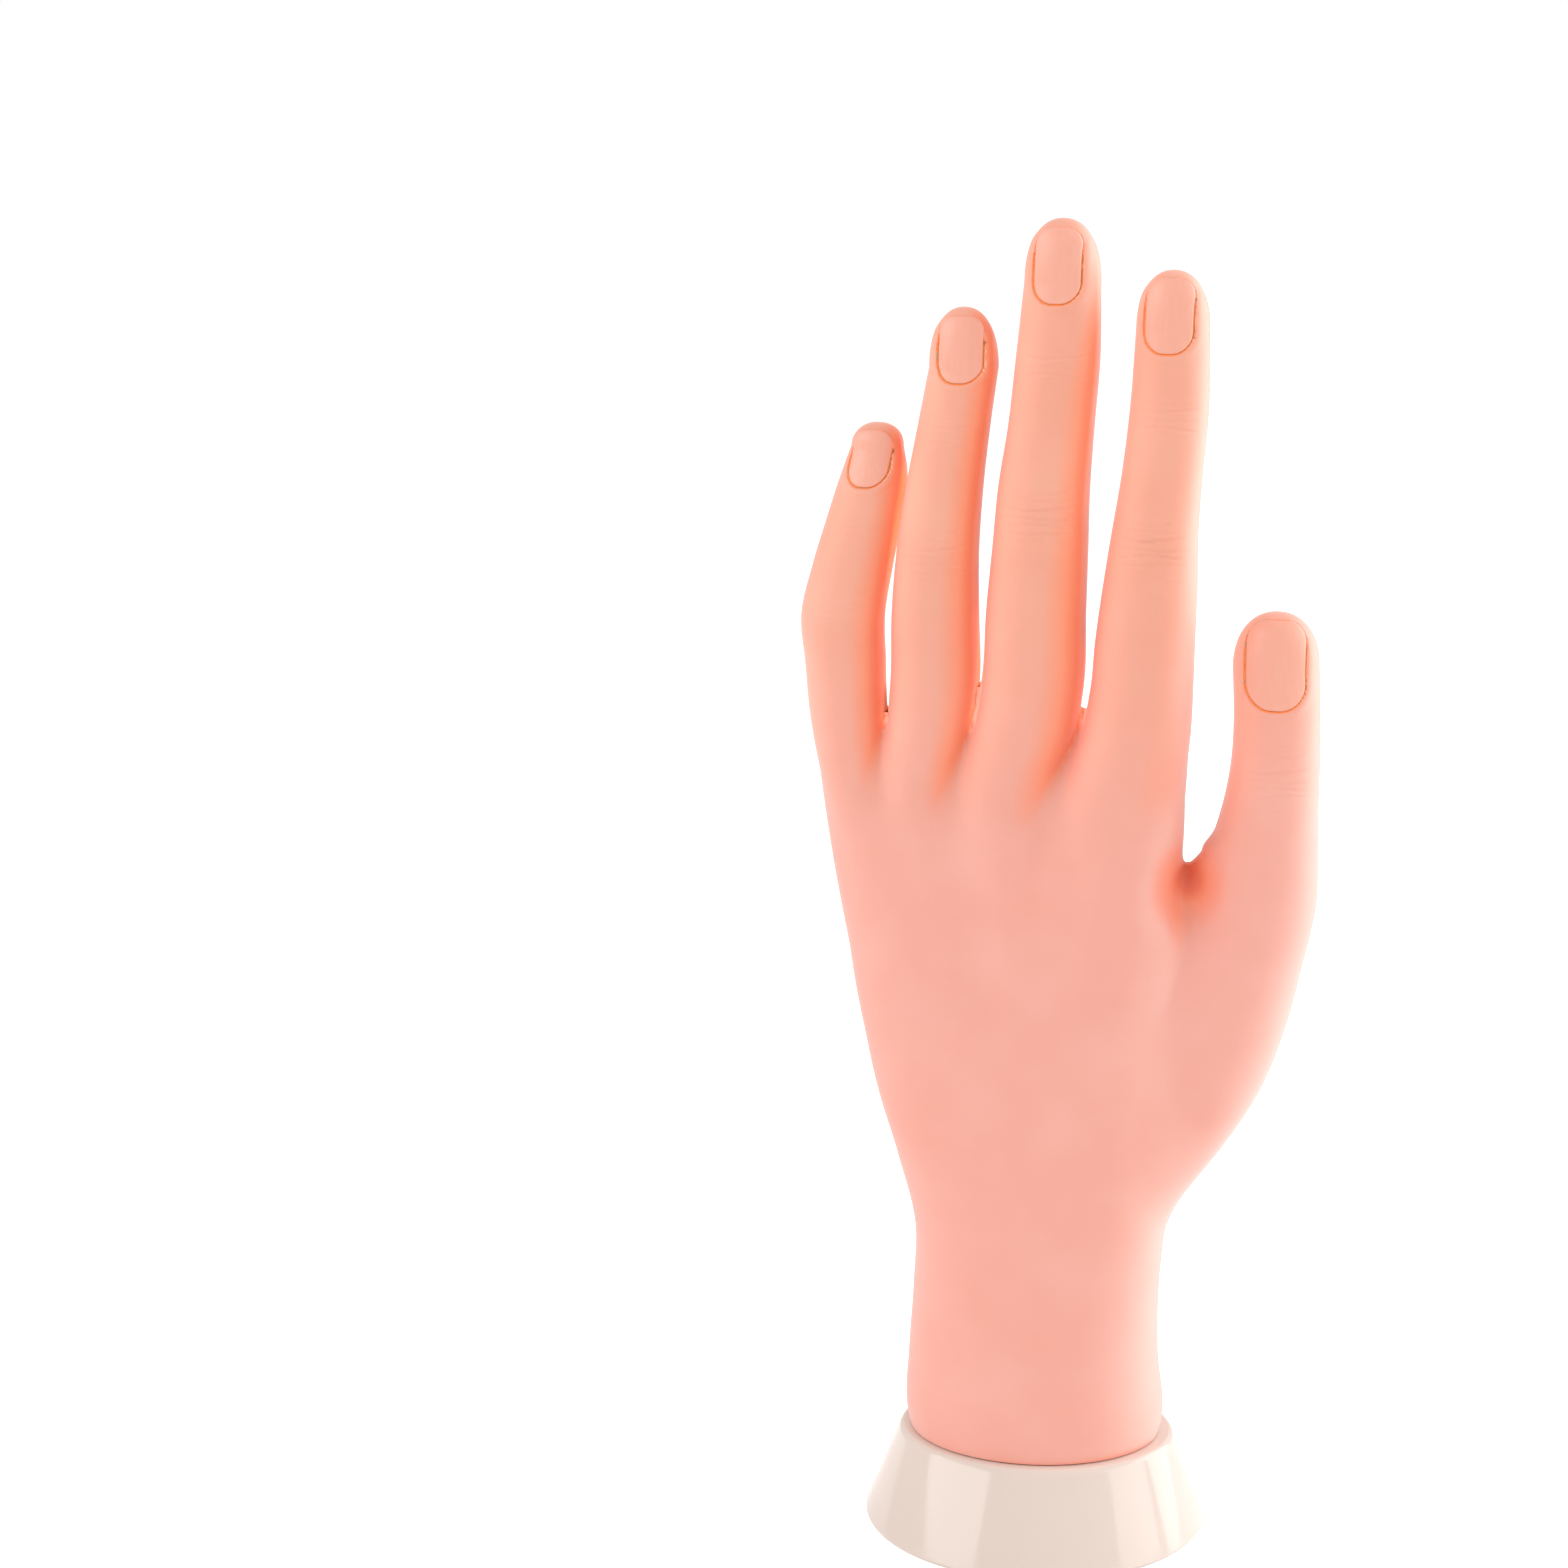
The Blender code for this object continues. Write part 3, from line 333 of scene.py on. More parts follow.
add_node(tree, "ShaderNodeOutputMaterial", {"Surface": shader.outputs[0]})
bone_places = [f"{finger}_{word}" for finger, words in BONES.items() for word in words]
refinish(["wrist_plug", "palm_core", *(f"{spot}_bone" for spot in bone_places)], nylon)
refinish(["core_pin_left", "core_pin_right", *(f"{spot}_pin" for spot in bone_places)], zinc)


# The palm and wrist skin: one hollow vinyl casting, soft and peach pink, poured in a mould taken from
# a hand. It stands in the base and carries the fingers' skins, which are parted from it at the hinges.

# Each ring holds its height, its middle across and in depth, and its half width and half depth, in mm.
PALM_SQUARENESS = ([17.0, 32.0, 62.0], [2.0, 2.2, 2.5])
PALM_RINGS = [(17.6, -0.4, 0.0, 23.7, 19.8), (20.0, -0.4, 0.0, 24.2, 20.1), (33.0, -0.8, 0.0, 23.6, 19.5),
              (46.0, -0.5, 0.0, 23.1, 18.6), (59.0, 0.0, 0.2, 23.4, 17.4), (72.0, -1.2, 0.5, 25.6, 16.2),
              (85.0, -2.9, 0.8, 28.0, 15.2), (98.0, -3.9, 1.0, 29.9, 14.3), (110.0, -4.8, 1.1, 31.2, 13.4),
              (122.0, -6.1, 1.4, 32.1, 12.1), (132.0, -7.8, 1.8, 32.2, 9.9), (142.0, -8.5, 2.4, 32.8, 8.0),
              (150.0, -8.5, 2.8, 33.2, 5.8), (156.5, -8.4, 2.2, 32.6, 3.6)]
PALM_TOP_RISE = 2.6
WEB_SHIFT = ([-45.0, -29.6, -12.6, 7.3, 30.0], [-4.5, -3.4, 1.4, -0.9, -2.5])
THUMB_WEB_RINGS = [(92.0, 24.0, 4.0, 8.0, 8.0), (112.0, 26.5, 3.0, 8.0, 6.5), (120.0, 27.6, 2.8, 6.8, 5.0),
                   (126.0, 28.2, 3.0, 5.2, 4.2), (129.5, 29.9, 3.2, 3.9, 3.5), (132.0, 31.6, 3.4, 3.0, 3.0)]
THUMB_WEB_RISE = 2.0
# A finger holds its rings, the rise of its tip above them, the heights where its lengths part, the start
# and end of each bend, and its nail: low end, high end, half width in mm, and roll in degrees.
FINGERS = {
    "little": {"rings": [(112.0, -24.6, 0.6, 6.8, 9.6), (130.0, -30.8, 0.5, 6.3, 8.9),
                         (145.0, -35.2, 0.3, 6.7, 8.4), (155.0, -36.8, 0.2, 7.1, 7.9),
                         (166.0, -37.6, 0.0, 7.4, 7.4), (175.5, -38.0, -0.2, 7.7, 7.4),
                         (184.0, -36.5, 0.8, 7.4, 7.0), (192.5, -34.6, 2.0, 6.9, 6.5),
                         (201.0, -32.9, 3.1, 6.0, 5.7), (206.0, -32.3, 3.5, 4.7, 4.5)],
               "rise": 4.3, "parts": (157.4, 168.3, 185.7),
               "bends": ((157.6, 168.0), (168.6, 183.0), (188.5, 196.5)),
               "nail": (199.4, 209.2, 3.7, 9.0)},
    "ring": {"rings": [(112.0, -17.0, 0.3, 8.0, 10.0), (130.0, -22.2, 0.2, 7.7, 9.5),
                       (145.0, -23.4, 0.1, 7.7, 9.2), (156.0, -21.6, 0.0, 8.1, 8.8),
                       (164.0, -20.9, 0.0, 8.2, 8.5), (176.0, -21.0, 0.0, 8.0, 8.0),
                       (188.0, -20.6, -0.2, 7.5, 7.6), (200.0, -19.5, 0.6, 7.0, 6.9),
                       (210.0, -18.2, 1.6, 6.6, 6.5), (221.0, -16.6, 2.8, 6.3, 5.6)],
             "rise": 10.9, "parts": (162.8, 179.5, 200.5),
             "bends": ((163.0, 179.0), (180.0, 196.0), (205.0, 215.0)),
             "nail": (218.9, 230.5, 4.05, 1.0)},
    "middle": {"rings": [(112.0, -3.0, 0.3, 8.8, 10.4), (130.0, -7.0, 0.2, 9.2, 9.9),
                         (145.0, -7.2, 0.1, 9.5, 9.8), (156.0, -4.2, 0.0, 9.6, 9.4),
                         (164.0, -2.9, 0.0, 9.4, 9.2), (177.0, -2.5, 0.0, 9.1, 8.9),
                         (189.0, -1.9, -0.2, 8.7, 8.4), (200.0, -1.4, 0.0, 8.3, 8.0),
                         (211.0, -0.4, 1.0, 7.8, 7.3), (223.0, 0.5, 2.0, 7.6, 6.8),
                         (237.0, 1.0, 3.4, 6.9, 5.8)],
               "rise": 11.2, "parts": (162.8, 184.7, 211.0),
               "bends": ((164.5, 181.5), (188.0, 204.0), (218.0, 228.0)),
               "nail": (233.6, 246.7, 4.25, 6.0)},
    "index": {"rings": [(112.0, 11.0, 0.3, 9.6, 10.4), (130.0, 12.6, 0.2, 11.0, 9.9),
                        (145.0, 13.8, 0.1, 11.3, 9.8), (156.0, 16.3, 0.0, 9.9, 9.5),
                        (164.0, 17.1, 0.0, 9.3, 9.1), (171.0, 17.4, 0.0, 9.1, 8.8),
                        (183.0, 18.2, -0.1, 8.5, 8.2), (191.0, 18.7, 0.0, 7.9, 7.8),
                        (202.0, 19.7, 0.8, 7.3, 7.0), (214.0, 20.7, 1.8, 7.1, 6.6),
                        (229.0, 20.95, 3.2, 6.6, 5.7)],
              "rise": 10.4, "parts": (162.3, 181.2, 204.0),
              "bends": ((162.5, 179.5), (183.0, 199.0), (209.0, 219.0)),
              "nail": (225.2, 238.2, 4.35, 5.0)},
    "thumb": {"rings": [(40.0, 7.0, 1.0, 5.0, 6.0), (54.0, 11.0, 2.6, 8.0, 9.0),
                        (63.0, 15.2, 4.2, 9.6, 10.8), (72.0, 20.7, 6.0, 11.3, 12.0),
                        (85.0, 28.0, 7.5, 12.2, 13.0), (98.0, 32.3, 7.5, 12.5, 13.0),
                        (110.0, 35.3, 7.0, 12.2, 12.2), (122.0, 38.0, 6.0, 11.7, 10.8),
                        (134.0, 39.9, 5.0, 9.8, 9.2), (142.0, 40.9, 4.6, 8.7, 8.6),
                        (148.0, 41.4, 4.4, 8.2, 8.2), (157.0, 41.5, 4.8, 7.9, 7.6),
                        (167.0, 41.0, 5.6, 7.9, 6.8)],
              "rise": 10.2, "parts": (128.6, 140.3),
              "bends": ((129.5, 138.5), (142.0, 154.0)),
              "nail": (160.5, 176.2, 5.4, -1.5)},
}
FINGER_SQUARENESS = ([0.0], [2.15])
RING_STEP = 0.25
FINGER_FOOT_RISE = 14.0
THUMB_WEB_FOOT_RISE = 8.0
PALM_FOOT_RISE = 1.0
WEB_SHIFT_STARTS, WEB_SHIFT_ENDS = 140.0, 152.0
THUMB_WEB_MELT = 3.0
# How far a finger melts into the palm, below and above, and the heights between which that changes.
FINGER_MELT = (7.0, 1.4, 118.0, 158.0)
THUMB_MELT = (9.0, 3.0, 100.0, 120.0)
THUMB_FOOT = (52.0, 80.0)
THUMB_FOOT_SHARE = 0.3


def fine_rings(rings):
    """Rings through the given ones on a smooth curve, every quarter millimetre of height."""
    knots = np.array(rings, float)
    heights = knots[:, 0]
    slopes = np.gradient(knots, heights, axis=0)
    fine = np.arange(heights[0], heights[-1] + RING_STEP, RING_STEP)
    at = np.clip(np.searchsorted(heights, fine, side="right") - 1, 0, len(heights) - 2)
    gap = (heights[at + 1] - heights[at])[:, None]
    t = np.clip((fine - heights[at])[:, None] / gap, 0, 1)
    smooth = ((1 + 2 * t) * (1 - t) ** 2 * knots[at] + t * (1 - t) ** 2 * gap * slopes[at]
              + t ** 2 * (3 - 2 * t) * knots[at + 1] + t ** 2 * (t - 1) * gap * slopes[at + 1])
    smooth[:, 0] = fine
    return smooth


def limb(rings, squareness, top_rise, bottom_rise):
    """A function that gives points' distance in mm from a limb through the rings, closed by domes.

    squareness is (heights, values): 2 gives an oval section, more a squarer one."""
    fine = fine_rings(rings)
    bottom, top = rings[0][0], rings[-1][0]

    def distance(points):
        height = points[..., 2]
        across, depth, half_width, half_depth = (np.interp(height, fine[:, 0], fine[:, i])
                                                 for i in (1, 2, 3, 4))
        a = np.abs(points[..., 0] - across) / half_width
        b = np.abs(points[..., 1] - depth) / half_depth
        square = np.interp(height, *squareness)
        beyond = np.where(height > top, top_rise, bottom_rise)
        c = (np.maximum(height - top, 0) + np.maximum(bottom - height, 0)) / beyond
        size = np.maximum((a ** square + b ** square + c ** square) ** (1 / square), 1e-3)
        power = square - 1
        slope = np.sqrt((a ** power / half_width) ** 2 + (b ** power / half_depth) ** 2
                        + (c ** power / beyond) ** 2)
        return (size - 1) * size ** power / np.maximum(slope, 1e-4)

    return distance


def melt(first, second, width):
    """The nearer of two distances, with the crease between the two forms filled over width."""
    overlap = np.maximum(width - np.abs(first - second), 0) / width
    return np.minimum(first, second) - overlap ** 2 * width / 4


def ramp(value, start, end):
    """0 below start, 1 above end, smooth between."""
    t = np.clip((value - start) / (end - start), 0, 1)
    return t * t * (3 - 2 * t)


palm_limb = limb(PALM_RINGS, PALM_SQUARENESS, PALM_TOP_RISE, PALM_FOOT_RISE)
thumb_web_limb = limb(THUMB_WEB_RINGS, FINGER_SQUARENESS, THUMB_WEB_RISE, THUMB_WEB_FOOT_RISE)
finger_limbs = {name: limb(f["rings"], FINGER_SQUARENESS, f["rise"], FINGER_FOOT_RISE)
                for name, f in FINGERS.items()}
finger_lines = {name: fine_rings(f["rings"]) for name, f in FINGERS.items()}


def palm_body(points):
    """Distance from the palm and wrist alone, whose top edge rises and falls from web to web."""
    shifted = points.copy()
    shifted[..., 2] -= (np.interp(points[..., 0], *WEB_SHIFT)
                        * ramp(points[..., 2], WEB_SHIFT_STARTS, WEB_SHIFT_ENDS))
    return melt(palm_limb(shifted), thumb_web_limb(points), THUMB_WEB_MELT)


def root_width(name, height):
    """How far a finger's root melts into the palm at a height: deep low down, hardly at the web."""
    deep, shallow, low, high = THUMB_MELT if name == "thumb" else FINGER_MELT
    if name == "thumb":
        deep = deep * (THUMB_FOOT_SHARE + (1 - THUMB_FOOT_SHARE) * ramp(height, *THUMB_FOOT))
    return deep + (shallow - deep) * ramp(height, low, high)


def finger_on_palm(name, points):
    """Distance from one finger with the palm, its root melted into the palm."""
    return melt(palm_body(points), finger_limbs[name](points), root_width(name, points[..., 2]))


def swell(points, place, reach, height):
    """A soft mound of that height round place, with a reach along each axis."""
    far = sum(((points[..., i] - place[i]) / reach[i]) ** 2 for i in range(3))
    return height * np.exp(-far)


CREASE_WIDTH = 0.9
CREASE_POINTS = 10


def crease(points, route, depth):
    """A groove along a route of (across, height) points on the palm's inner face."""
    inner = np.full(points.shape[:-1], 1e3)
    spots = np.array(route, float)
    flat = points[..., [0, 2]]
    for a, b in zip(spots[:-1], spots[1:]):
        along = b - a
        t = np.clip(((flat - a) @ along) / (along @ along), 0, 1)
        inner = np.minimum(inner, np.linalg.norm(flat - (a + t[..., None] * along), axis=-1))
    return -depth * np.exp(-(inner / CREASE_WIDTH) ** 2) * ramp(points[..., 1], 1.0, 4.0)


def curve(points):
    """Points along a smooth curve through the given ones."""
    spots = np.array(points, float)
    t = np.linspace(0, len(spots) - 1, CREASE_POINTS)
    degree = len(spots) - 1
    return np.stack([np.polyval(np.polyfit(range(len(spots)), spots[:, i], degree), t)
                     for i in (0, 1)], -1)


HEART_LINE = curve([(-36.0, 134.0), (-20.0, 137.0), (-2.0, 142.0), (8.0, 150.0)])
HEAD_LINE = curve([(26.0, 128.0), (10.0, 124.0), (-10.0, 114.0), (-27.0, 104.0)])
LIFE_LINE = curve([(26.0, 127.0), (10.0, 116.0), (3.0, 98.0), (6.0, 76.0)])
WRIST_LINE = curve([(-18.0, 63.0), (-6.0, 60.5), (8.0, 60.5), (19.0, 63.5)])
CREASE_DEPTHS = [(HEART_LINE, 0.7), (HEAD_LINE, 0.7), (LIFE_LINE, 0.9), (WRIST_LINE, 0.5)]
# The mounds at the thumb and at the little finger's side, the palm's hollow, and on the back the dips
# beside the thumb's web and at the middle knuckle: place, reach along each axis, and height.
PALM_MOUNDS = [((17.0, 17.0, 88.0), (15.0, 14.0, 24.0), 3.0), ((-21.0, 15.0, 86.0), (13.0, 12.0, 28.0), 2.2),
               ((-4.0, 15.0, 106.0), (13.0, 10.0, 20.0), -2.2), ((26.3, -7.0, 126.0), (4.4, 8.0, 6.0), -4.2),
               ((-1.0, -11.0, 135.0), (3.0, 8.0, 8.0), -0.9)]
ROOT_PADS = {"little": 144.0, "ring": 149.0, "middle": 150.0, "index": 148.0}
TENDON_LOW, TENDON_HIGH = 84.0, 136.0
TENDON_GATHERING = 0.35
TENDON_HEIGHT = 0.35
TENDON_WIDTH = 2.6


def palm_relief(points):
    """Height of the palm's mounds, hollow, creases and tendons above its plain form, in mm."""
    relief = sum(swell(points, place, reach, height) for place, reach, height in PALM_MOUNDS)
    for name, height in ROOT_PADS.items():
        across = np.interp(height, finger_lines[name][:, 0], finger_lines[name][:, 1])
        relief += swell(points, (across, 12.0, height), (7.0, 8.0, 8.0), 1.0)
    for line, depth in CREASE_DEPTHS:
        relief += crease(points, line, depth)
    height = points[..., 2]
    along = np.clip((height - TENDON_LOW) / (TENDON_HIGH - TENDON_LOW), 0, 1)
    for name in ("ring", "middle", "index"):
        knuckle = np.interp(TENDON_HIGH, finger_lines[name][:, 0], finger_lines[name][:, 1])
        wrist = knuckle * TENDON_GATHERING
        off = (points[..., 0] - (wrist + (knuckle - wrist) * along)) / TENDON_WIDTH
        tendon = TENDON_HEIGHT * np.exp(-off ** 2) * ramp(height, 92.0, 112.0)
        relief += tendon * (1 - ramp(height, 128.0, 142.0)) * ramp(-points[..., 1], 3.0, 8.0)
    return relief


WEB_TOP = 161.0
WEB_DEPTH = 28.0
WEB_MELT = 6.8
LEAST_MELT = 0.3


def hand_skin(points):
    """Distance from the finished skin of the palm, the wrist and the fingers' roots."""
    height = points[..., 2]
    between_fingers = LEAST_MELT + WEB_MELT * np.clip((WEB_TOP - height) / WEB_DEPTH, 0, 1)
    fingers = finger_limbs["little"](points)
    for name in ("ring", "middle", "index"):
        fingers = melt(fingers, finger_limbs[name](points), between_fingers)
    palm = palm_body(points)
    with_fingers = melt(palm, fingers, root_width("middle", height))
    with_thumb = melt(palm, finger_limbs["thumb"](points), root_width("thumb", height))
    return melt(with_thumb, with_fingers, LEAST_MELT) - palm_relief(points)


# Painted shade and light for the vinyl, worked out from the hand's own form: orange painted shade, painted
# glow in gaps and on left sides, and a pale painted highlight on open right edges.
SHADE_REACHES = (1.5, 3.0, 5.0, 8.0, 12.0)
SHADE_LEAN = (0.7, 0.0, 0.0)
SHADE_SHARE = 0.7
NEIGHBOUR_REACHES = (7.0, 10.0, 13.0, 16.0)
NEIGHBOUR_RISE = 1.1
NEIGHBOUR_SHARE = 0.72
SLIT_REACHES = (0.8, 1.6)
THUMB_HOLLOW = (26.6, 127.5)
THUMB_HOLLOW_REACH = (5.0, 6.5)
RIM_HIGHLIGHT_SHARE = 0.28


def nearest_form(spots, palm=True):
    """Distance from the nearest finger, or of the palm and thumb too."""
    nearest = palm_body(spots) if palm else np.full(spots.shape[:-1], 1e3)
    for name, distance in finger_limbs.items():
        if palm or name != "thumb":
            nearest = np.minimum(nearest, distance(spots))
    return nearest


def slit_share(points, outward):
    """How deep in a narrow gap between two fingers each point lies, where light only comes through
    the vinyl. The vinyl gets a painted glow there."""
    shut = np.mean([np.clip(1 - nearest_form(points + outward * reach) / reach, 0, 1)
                    for reach in SLIT_REACHES], axis=0)
    return ramp(shut, 0.3, 0.9) * ramp(points[:, 2], 150.0, 157.0)


def left_glow(points, outward):
    """How much light a finger's left side gets back from its neighbour's pale back, 0 to 1. The vinyl paints
    it as a pale pink glow.
    """
    beside = np.min([nearest_form(points + (-reach, 0.0, NEIGHBOUR_RISE * reach))
                     for reach in NEIGHBOUR_REACHES], axis=0)
    return ramp(-outward[:, 0], 0.1, 0.85) * (1 - ramp(beside, 2.0, 14.0)) * ramp(points[:, 2], 134.0, 158.0)


def neighbour_share(points, outward):
    """How much the next finger to the right shuts each point's right side in, 0 to 1."""
    across = np.min([nearest_form(points + (reach, 0.0, NEIGHBOUR_RISE * reach), palm=False)
                     for reach in NEIGHBOUR_REACHES], axis=0)
    return ramp(outward[:, 0], -0.1, 0.85) * (1 - ramp(across, 1.0, 8.0)) * ramp(points[:, 2], 130.0, 151.0)


def self_shade(points, outward, beside):
    """How much painted shade each point gets where the hand itself shades it from the right, and in the
    hollow beside the thumb's web, 0 open to 1 shut in.
    """
    to_right, to_palm, height = outward[:, 0], outward[:, 1], points[:, 2]
    lean = outward + SHADE_LEAN
    lean /= np.linalg.norm(lean, axis=1)[:, None]
    rising = np.maximum((lean * outward).sum(1), 0.3)
    shade = sum(np.clip(1 - nearest_form(points + lean * reach) / (reach * rising), 0, 1)
                for reach in SHADE_REACHES) / len(SHADE_REACHES)
    shade *= ramp(to_right, -0.5, 0.1)
    shade *= 1 - ramp(to_palm, 0.0, 0.5) * (1 - ramp(height, 142.0, 156.0))
    open_edge = 1 - ramp(to_right, 0.88, 0.98)
    hollow = np.exp(-((points[:, 0] - THUMB_HOLLOW[0]) / THUMB_HOLLOW_REACH[0]) ** 2
                    - ((height - THUMB_HOLLOW[1]) / THUMB_HOLLOW_REACH[1]) ** 2)
    return np.maximum(np.maximum(SHADE_SHARE * shade, NEIGHBOUR_SHARE * beside) * open_edge,
                      hollow * ramp(-to_palm, -0.2, 0.4))


def painted_rim_highlight(outward, beside, shade):
    """How much painted highlight, a pale colour, each point's right side gets where it is open to the bright
    backdrop.
    """
    return RIM_HIGHLIGHT_SHARE * ramp(outward[:, 0], 0.3, 0.95) * (1 - beside) * (1 - ramp(shade, 0.0, 0.35))


CELLS_TO_A_BLOCK = 4


def skin_faces(field, low, high, step):
    """Points and quads on the surface where field is 0, inside the box from low to high."""
    low = np.array(low, float)
    counts = np.ceil((np.array(high) - low) / step / CELLS_TO_A_BLOCK).astype(int) * CELLS_TO_A_BLOCK
    axes = [low[i] + step * np.arange(counts[i]) for i in range(3)]
    grid = np.stack(np.meshgrid(*axes, indexing="ij"), -1)
    block = slice(None, None, CELLS_TO_A_BLOCK)
    values = field(grid[block, block, block])
    for axis in range(3):
        values = values.repeat(CELLS_TO_A_BLOCK, axis)
    near = np.abs(values) < 2.2 * CELLS_TO_A_BLOCK * step
    values[near] = field(grid[near])
    inside = values < 0
    shape = np.array(inside.shape) - 1
    total = sum(inside[i:i + shape[0], j:j + shape[1], k:k + shape[2]].astype(int)
                for i, j, k in itertools.product((0, 1), repeat=3))
    active = (total > 0) & (total < 8)
    cells = np.argwhere(active)
    number = np.full(active.shape, -1)
    number[active] = np.arange(len(cells))
    sums = np.zeros((len(cells), 3))
    hits = np.zeros(len(cells))
    for axis in range(3):
        others = [i for i in range(3) if i != axis]
        for offset in itertools.product((0, 1), repeat=2):
            start = cells.copy()
            start[:, others] += offset
            end = start.copy()
            end[:, axis] += 1
            a, b = values[tuple(start.T)], values[tuple(end.T)]
            crossing = (a < 0) != (b < 0)
            spot = start.astype(float)
            spot[:, axis] += np.where(crossing, a / np.where(crossing, a - b, 1), 0)
            sums[crossing] += spot[crossing]
            hits += crossing
    points = low + step * sums / hits[:, None]
    quads = []
    for axis in range(3):
        b, c = (axis + 1) % 3, (axis + 2) % 3
        lower = inside.take(range(shape[axis]), axis)
        upper = inside.take(range(1, shape[axis] + 1), axis)
        cross = np.argwhere(lower != upper)
        cross = cross[(cross[:, b] > 0) & (cross[:, b] < shape[b])
                      & (cross[:, c] > 0) & (cross[:, c] < shape[c])]
        ring = []
        for step_b, step_c in ((1, 1), (0, 1), (0, 0), (1, 0)):
            at = cross.copy()
            at[:, b] -= step_b
            at[:, c] -= step_c
            ring.append(number[tuple(at.T)])
        ring = np.stack(ring, 1)
        backward = ~lower[tuple(cross.T)]
        ring[backward] = ring[backward][:, ::-1]
        quads.append(ring)
    return points, np.concatenate(quads)


def slopes(field, points, reach=0.05):
    """The field's slope at points, which is the skin's outward direction there."""
    result = np.empty_like(points)
    for axis in range(3):
        ahead, behind = points.copy(), points.copy()
        ahead[:, axis] += reach
        behind[:, axis] -= reach
        result[:, axis] = (field(ahead) - field(behind)) / (2 * reach)
    return result


def settle(field, points, rounds, longest):
    """Moves points onto the surface where field is 0."""
    for _ in range(rounds):
        slope = slopes(field, points)
        move = field(points) / np.maximum((slope ** 2).sum(1), 0.2)
        points = points - slope * np.clip(move, -longest, longest)[:, None]
    return points


def no_slot(points):
    """The share of a nail slot on a skin that has none."""
    return np.zeros(len(points))


def skin_piece(name, field, low, high, step, cuts, slot=no_slot):
    """A closed skin on field, cut flat at each (point, outward direction, test) of cuts, in metres."""
    points, quads = skin_faces(field, low, high, step)
    points = settle(field, points, 3, step / 2)
    rough = bpy.data.meshes.new(name)
    rough.from_pydata(points.tolist(), [], quads.tolist())
    form = bmesh.new()
    form.from_mesh(rough)
    bpy.data.meshes.remove(rough)
    caps = []
    for place, direction, test in cuts:
        faces = [f for f in form.faces if test(f.calc_center_median())]
        edges = {e for f in faces for e in f.edges}
        verts = {v for f in faces for v in f.verts}
        cut = bmesh.ops.bisect_plane(form, geom=[*verts, *edges, *faces], dist=1e-4, plane_co=place,
                                     plane_no=direction, clear_outer=True)
        rim = [e for e in cut["geom_cut"] if isinstance(e, bmesh.types.BMEdge)]
        caps += bmesh.ops.edgeloop_fill(form, edges=rim)["faces"]
    form.faces.index_update()
    flat = {f.index for f in caps}
    mesh = bpy.data.meshes.new(name)
    form.normal_update()
    form.to_mesh(mesh)
    form.free()
    count = len(mesh.vertices)
    flat_points = np.empty(count * 3)
    mesh.vertices.foreach_get("co", flat_points)
    spots = flat_points.reshape(-1, 3)
    outward = slopes(field, spots)
    outward /= np.linalg.norm(outward, axis=1)[:, None]
    corners = np.empty(len(mesh.loops), int)
    mesh.loops.foreach_get("vertex_index", corners)
    directions = outward[corners]
    for i in flat:
        cap = mesh.polygons[i]
        directions[cap.loop_start:cap.loop_start + cap.loop_total] = cap.normal
    mesh.vertices.foreach_set("co", (spots * 0.001).ravel())
    mesh.polygons.foreach_set("use_smooth", [True] * len(mesh.polygons))
    mesh.update()
    mesh.normals_split_custom_set(directions.tolist())
    beside = neighbour_share(spots, outward)
    shade = self_shade(spots, outward, beside)
    for label, values in (("self_shade", shade), ("slit", slit_share(spots, outward)),
                          ("left_glow", left_glow(spots, outward)), ("slot", slot(spots)),
                          ("painted_rim_highlight", painted_rim_highlight(outward, beside, shade))):
        mesh.attributes.new(label, "FLOAT", "POINT").data.foreach_set("value", values)
    piece = bpy.data.objects.new(name, mesh)
    scene.collection.objects.link(piece)
    return piece


# Cast vinyl: an even peach pink, a satin face with the fine grain of the mould, and faint cloudy
# mottling. Painted shade and light lie over it: orange where the hand shades itself, ochre in the nail
# slots, a pale painted highlight on right edges open to the backdrop, and a painted glow, emitted where
# it is shut in and on left sides that face a neighbour, for light seen through the vinyl.

vinyl, tree = new_material("cast_soft_vinyl")
place = add_node(tree, "ShaderNodeTexCoord").outputs["Object"]
shade, slit, left, groove, pale = (
    add_node(tree, "ShaderNodeAttribute", attribute_name=name).outputs["Fac"]
    for name in ("self_shade", "slit", "left_glow", "slot", "painted_rim_highlight"))
clouds = add_node(tree, "ShaderNodeTexNoise", {"Vector": place, "Scale": 60.0, "Detail": 2.0})
tint = add_node(tree, "ShaderNodeValToRGB", {"Fac": clouds.outputs["Fac"]},
                ((0.3, "#fbae9c"), (0.7, "#feb6a6")))
parts = add_node(tree, "ShaderNodeSeparateXYZ", {"Vector": place})
height = add_node(tree, "ShaderNodeMapRange", {
    "Value": parts.outputs["Z"], "From Min": 0.13, "From Max": 0.19})
warmer = add_node(tree, "ShaderNodeMix", {
    "Factor": height.outputs["Result"], "A": tint.outputs["Color"], "B": colour("#fffbec")},
    data_type="RGBA", blend_type="MULTIPLY")
# Painted shade: where the hand shades itself the colour turns orange, deepening to red where it is most shut
# in.
painted_shade_share = add_node(tree, "ShaderNodeMapRange", {
    "Value": shade, "From Min": 0.12, "From Max": 0.85, "To Max": 0.85}).outputs["Result"]
painted_shade_tint = add_node(tree, "ShaderNodeValToRGB", {"Fac": shade}, ((0.6, "#ff8a58"), (1.0, "#da4e32")))
tone = warmer.outputs["Result"]
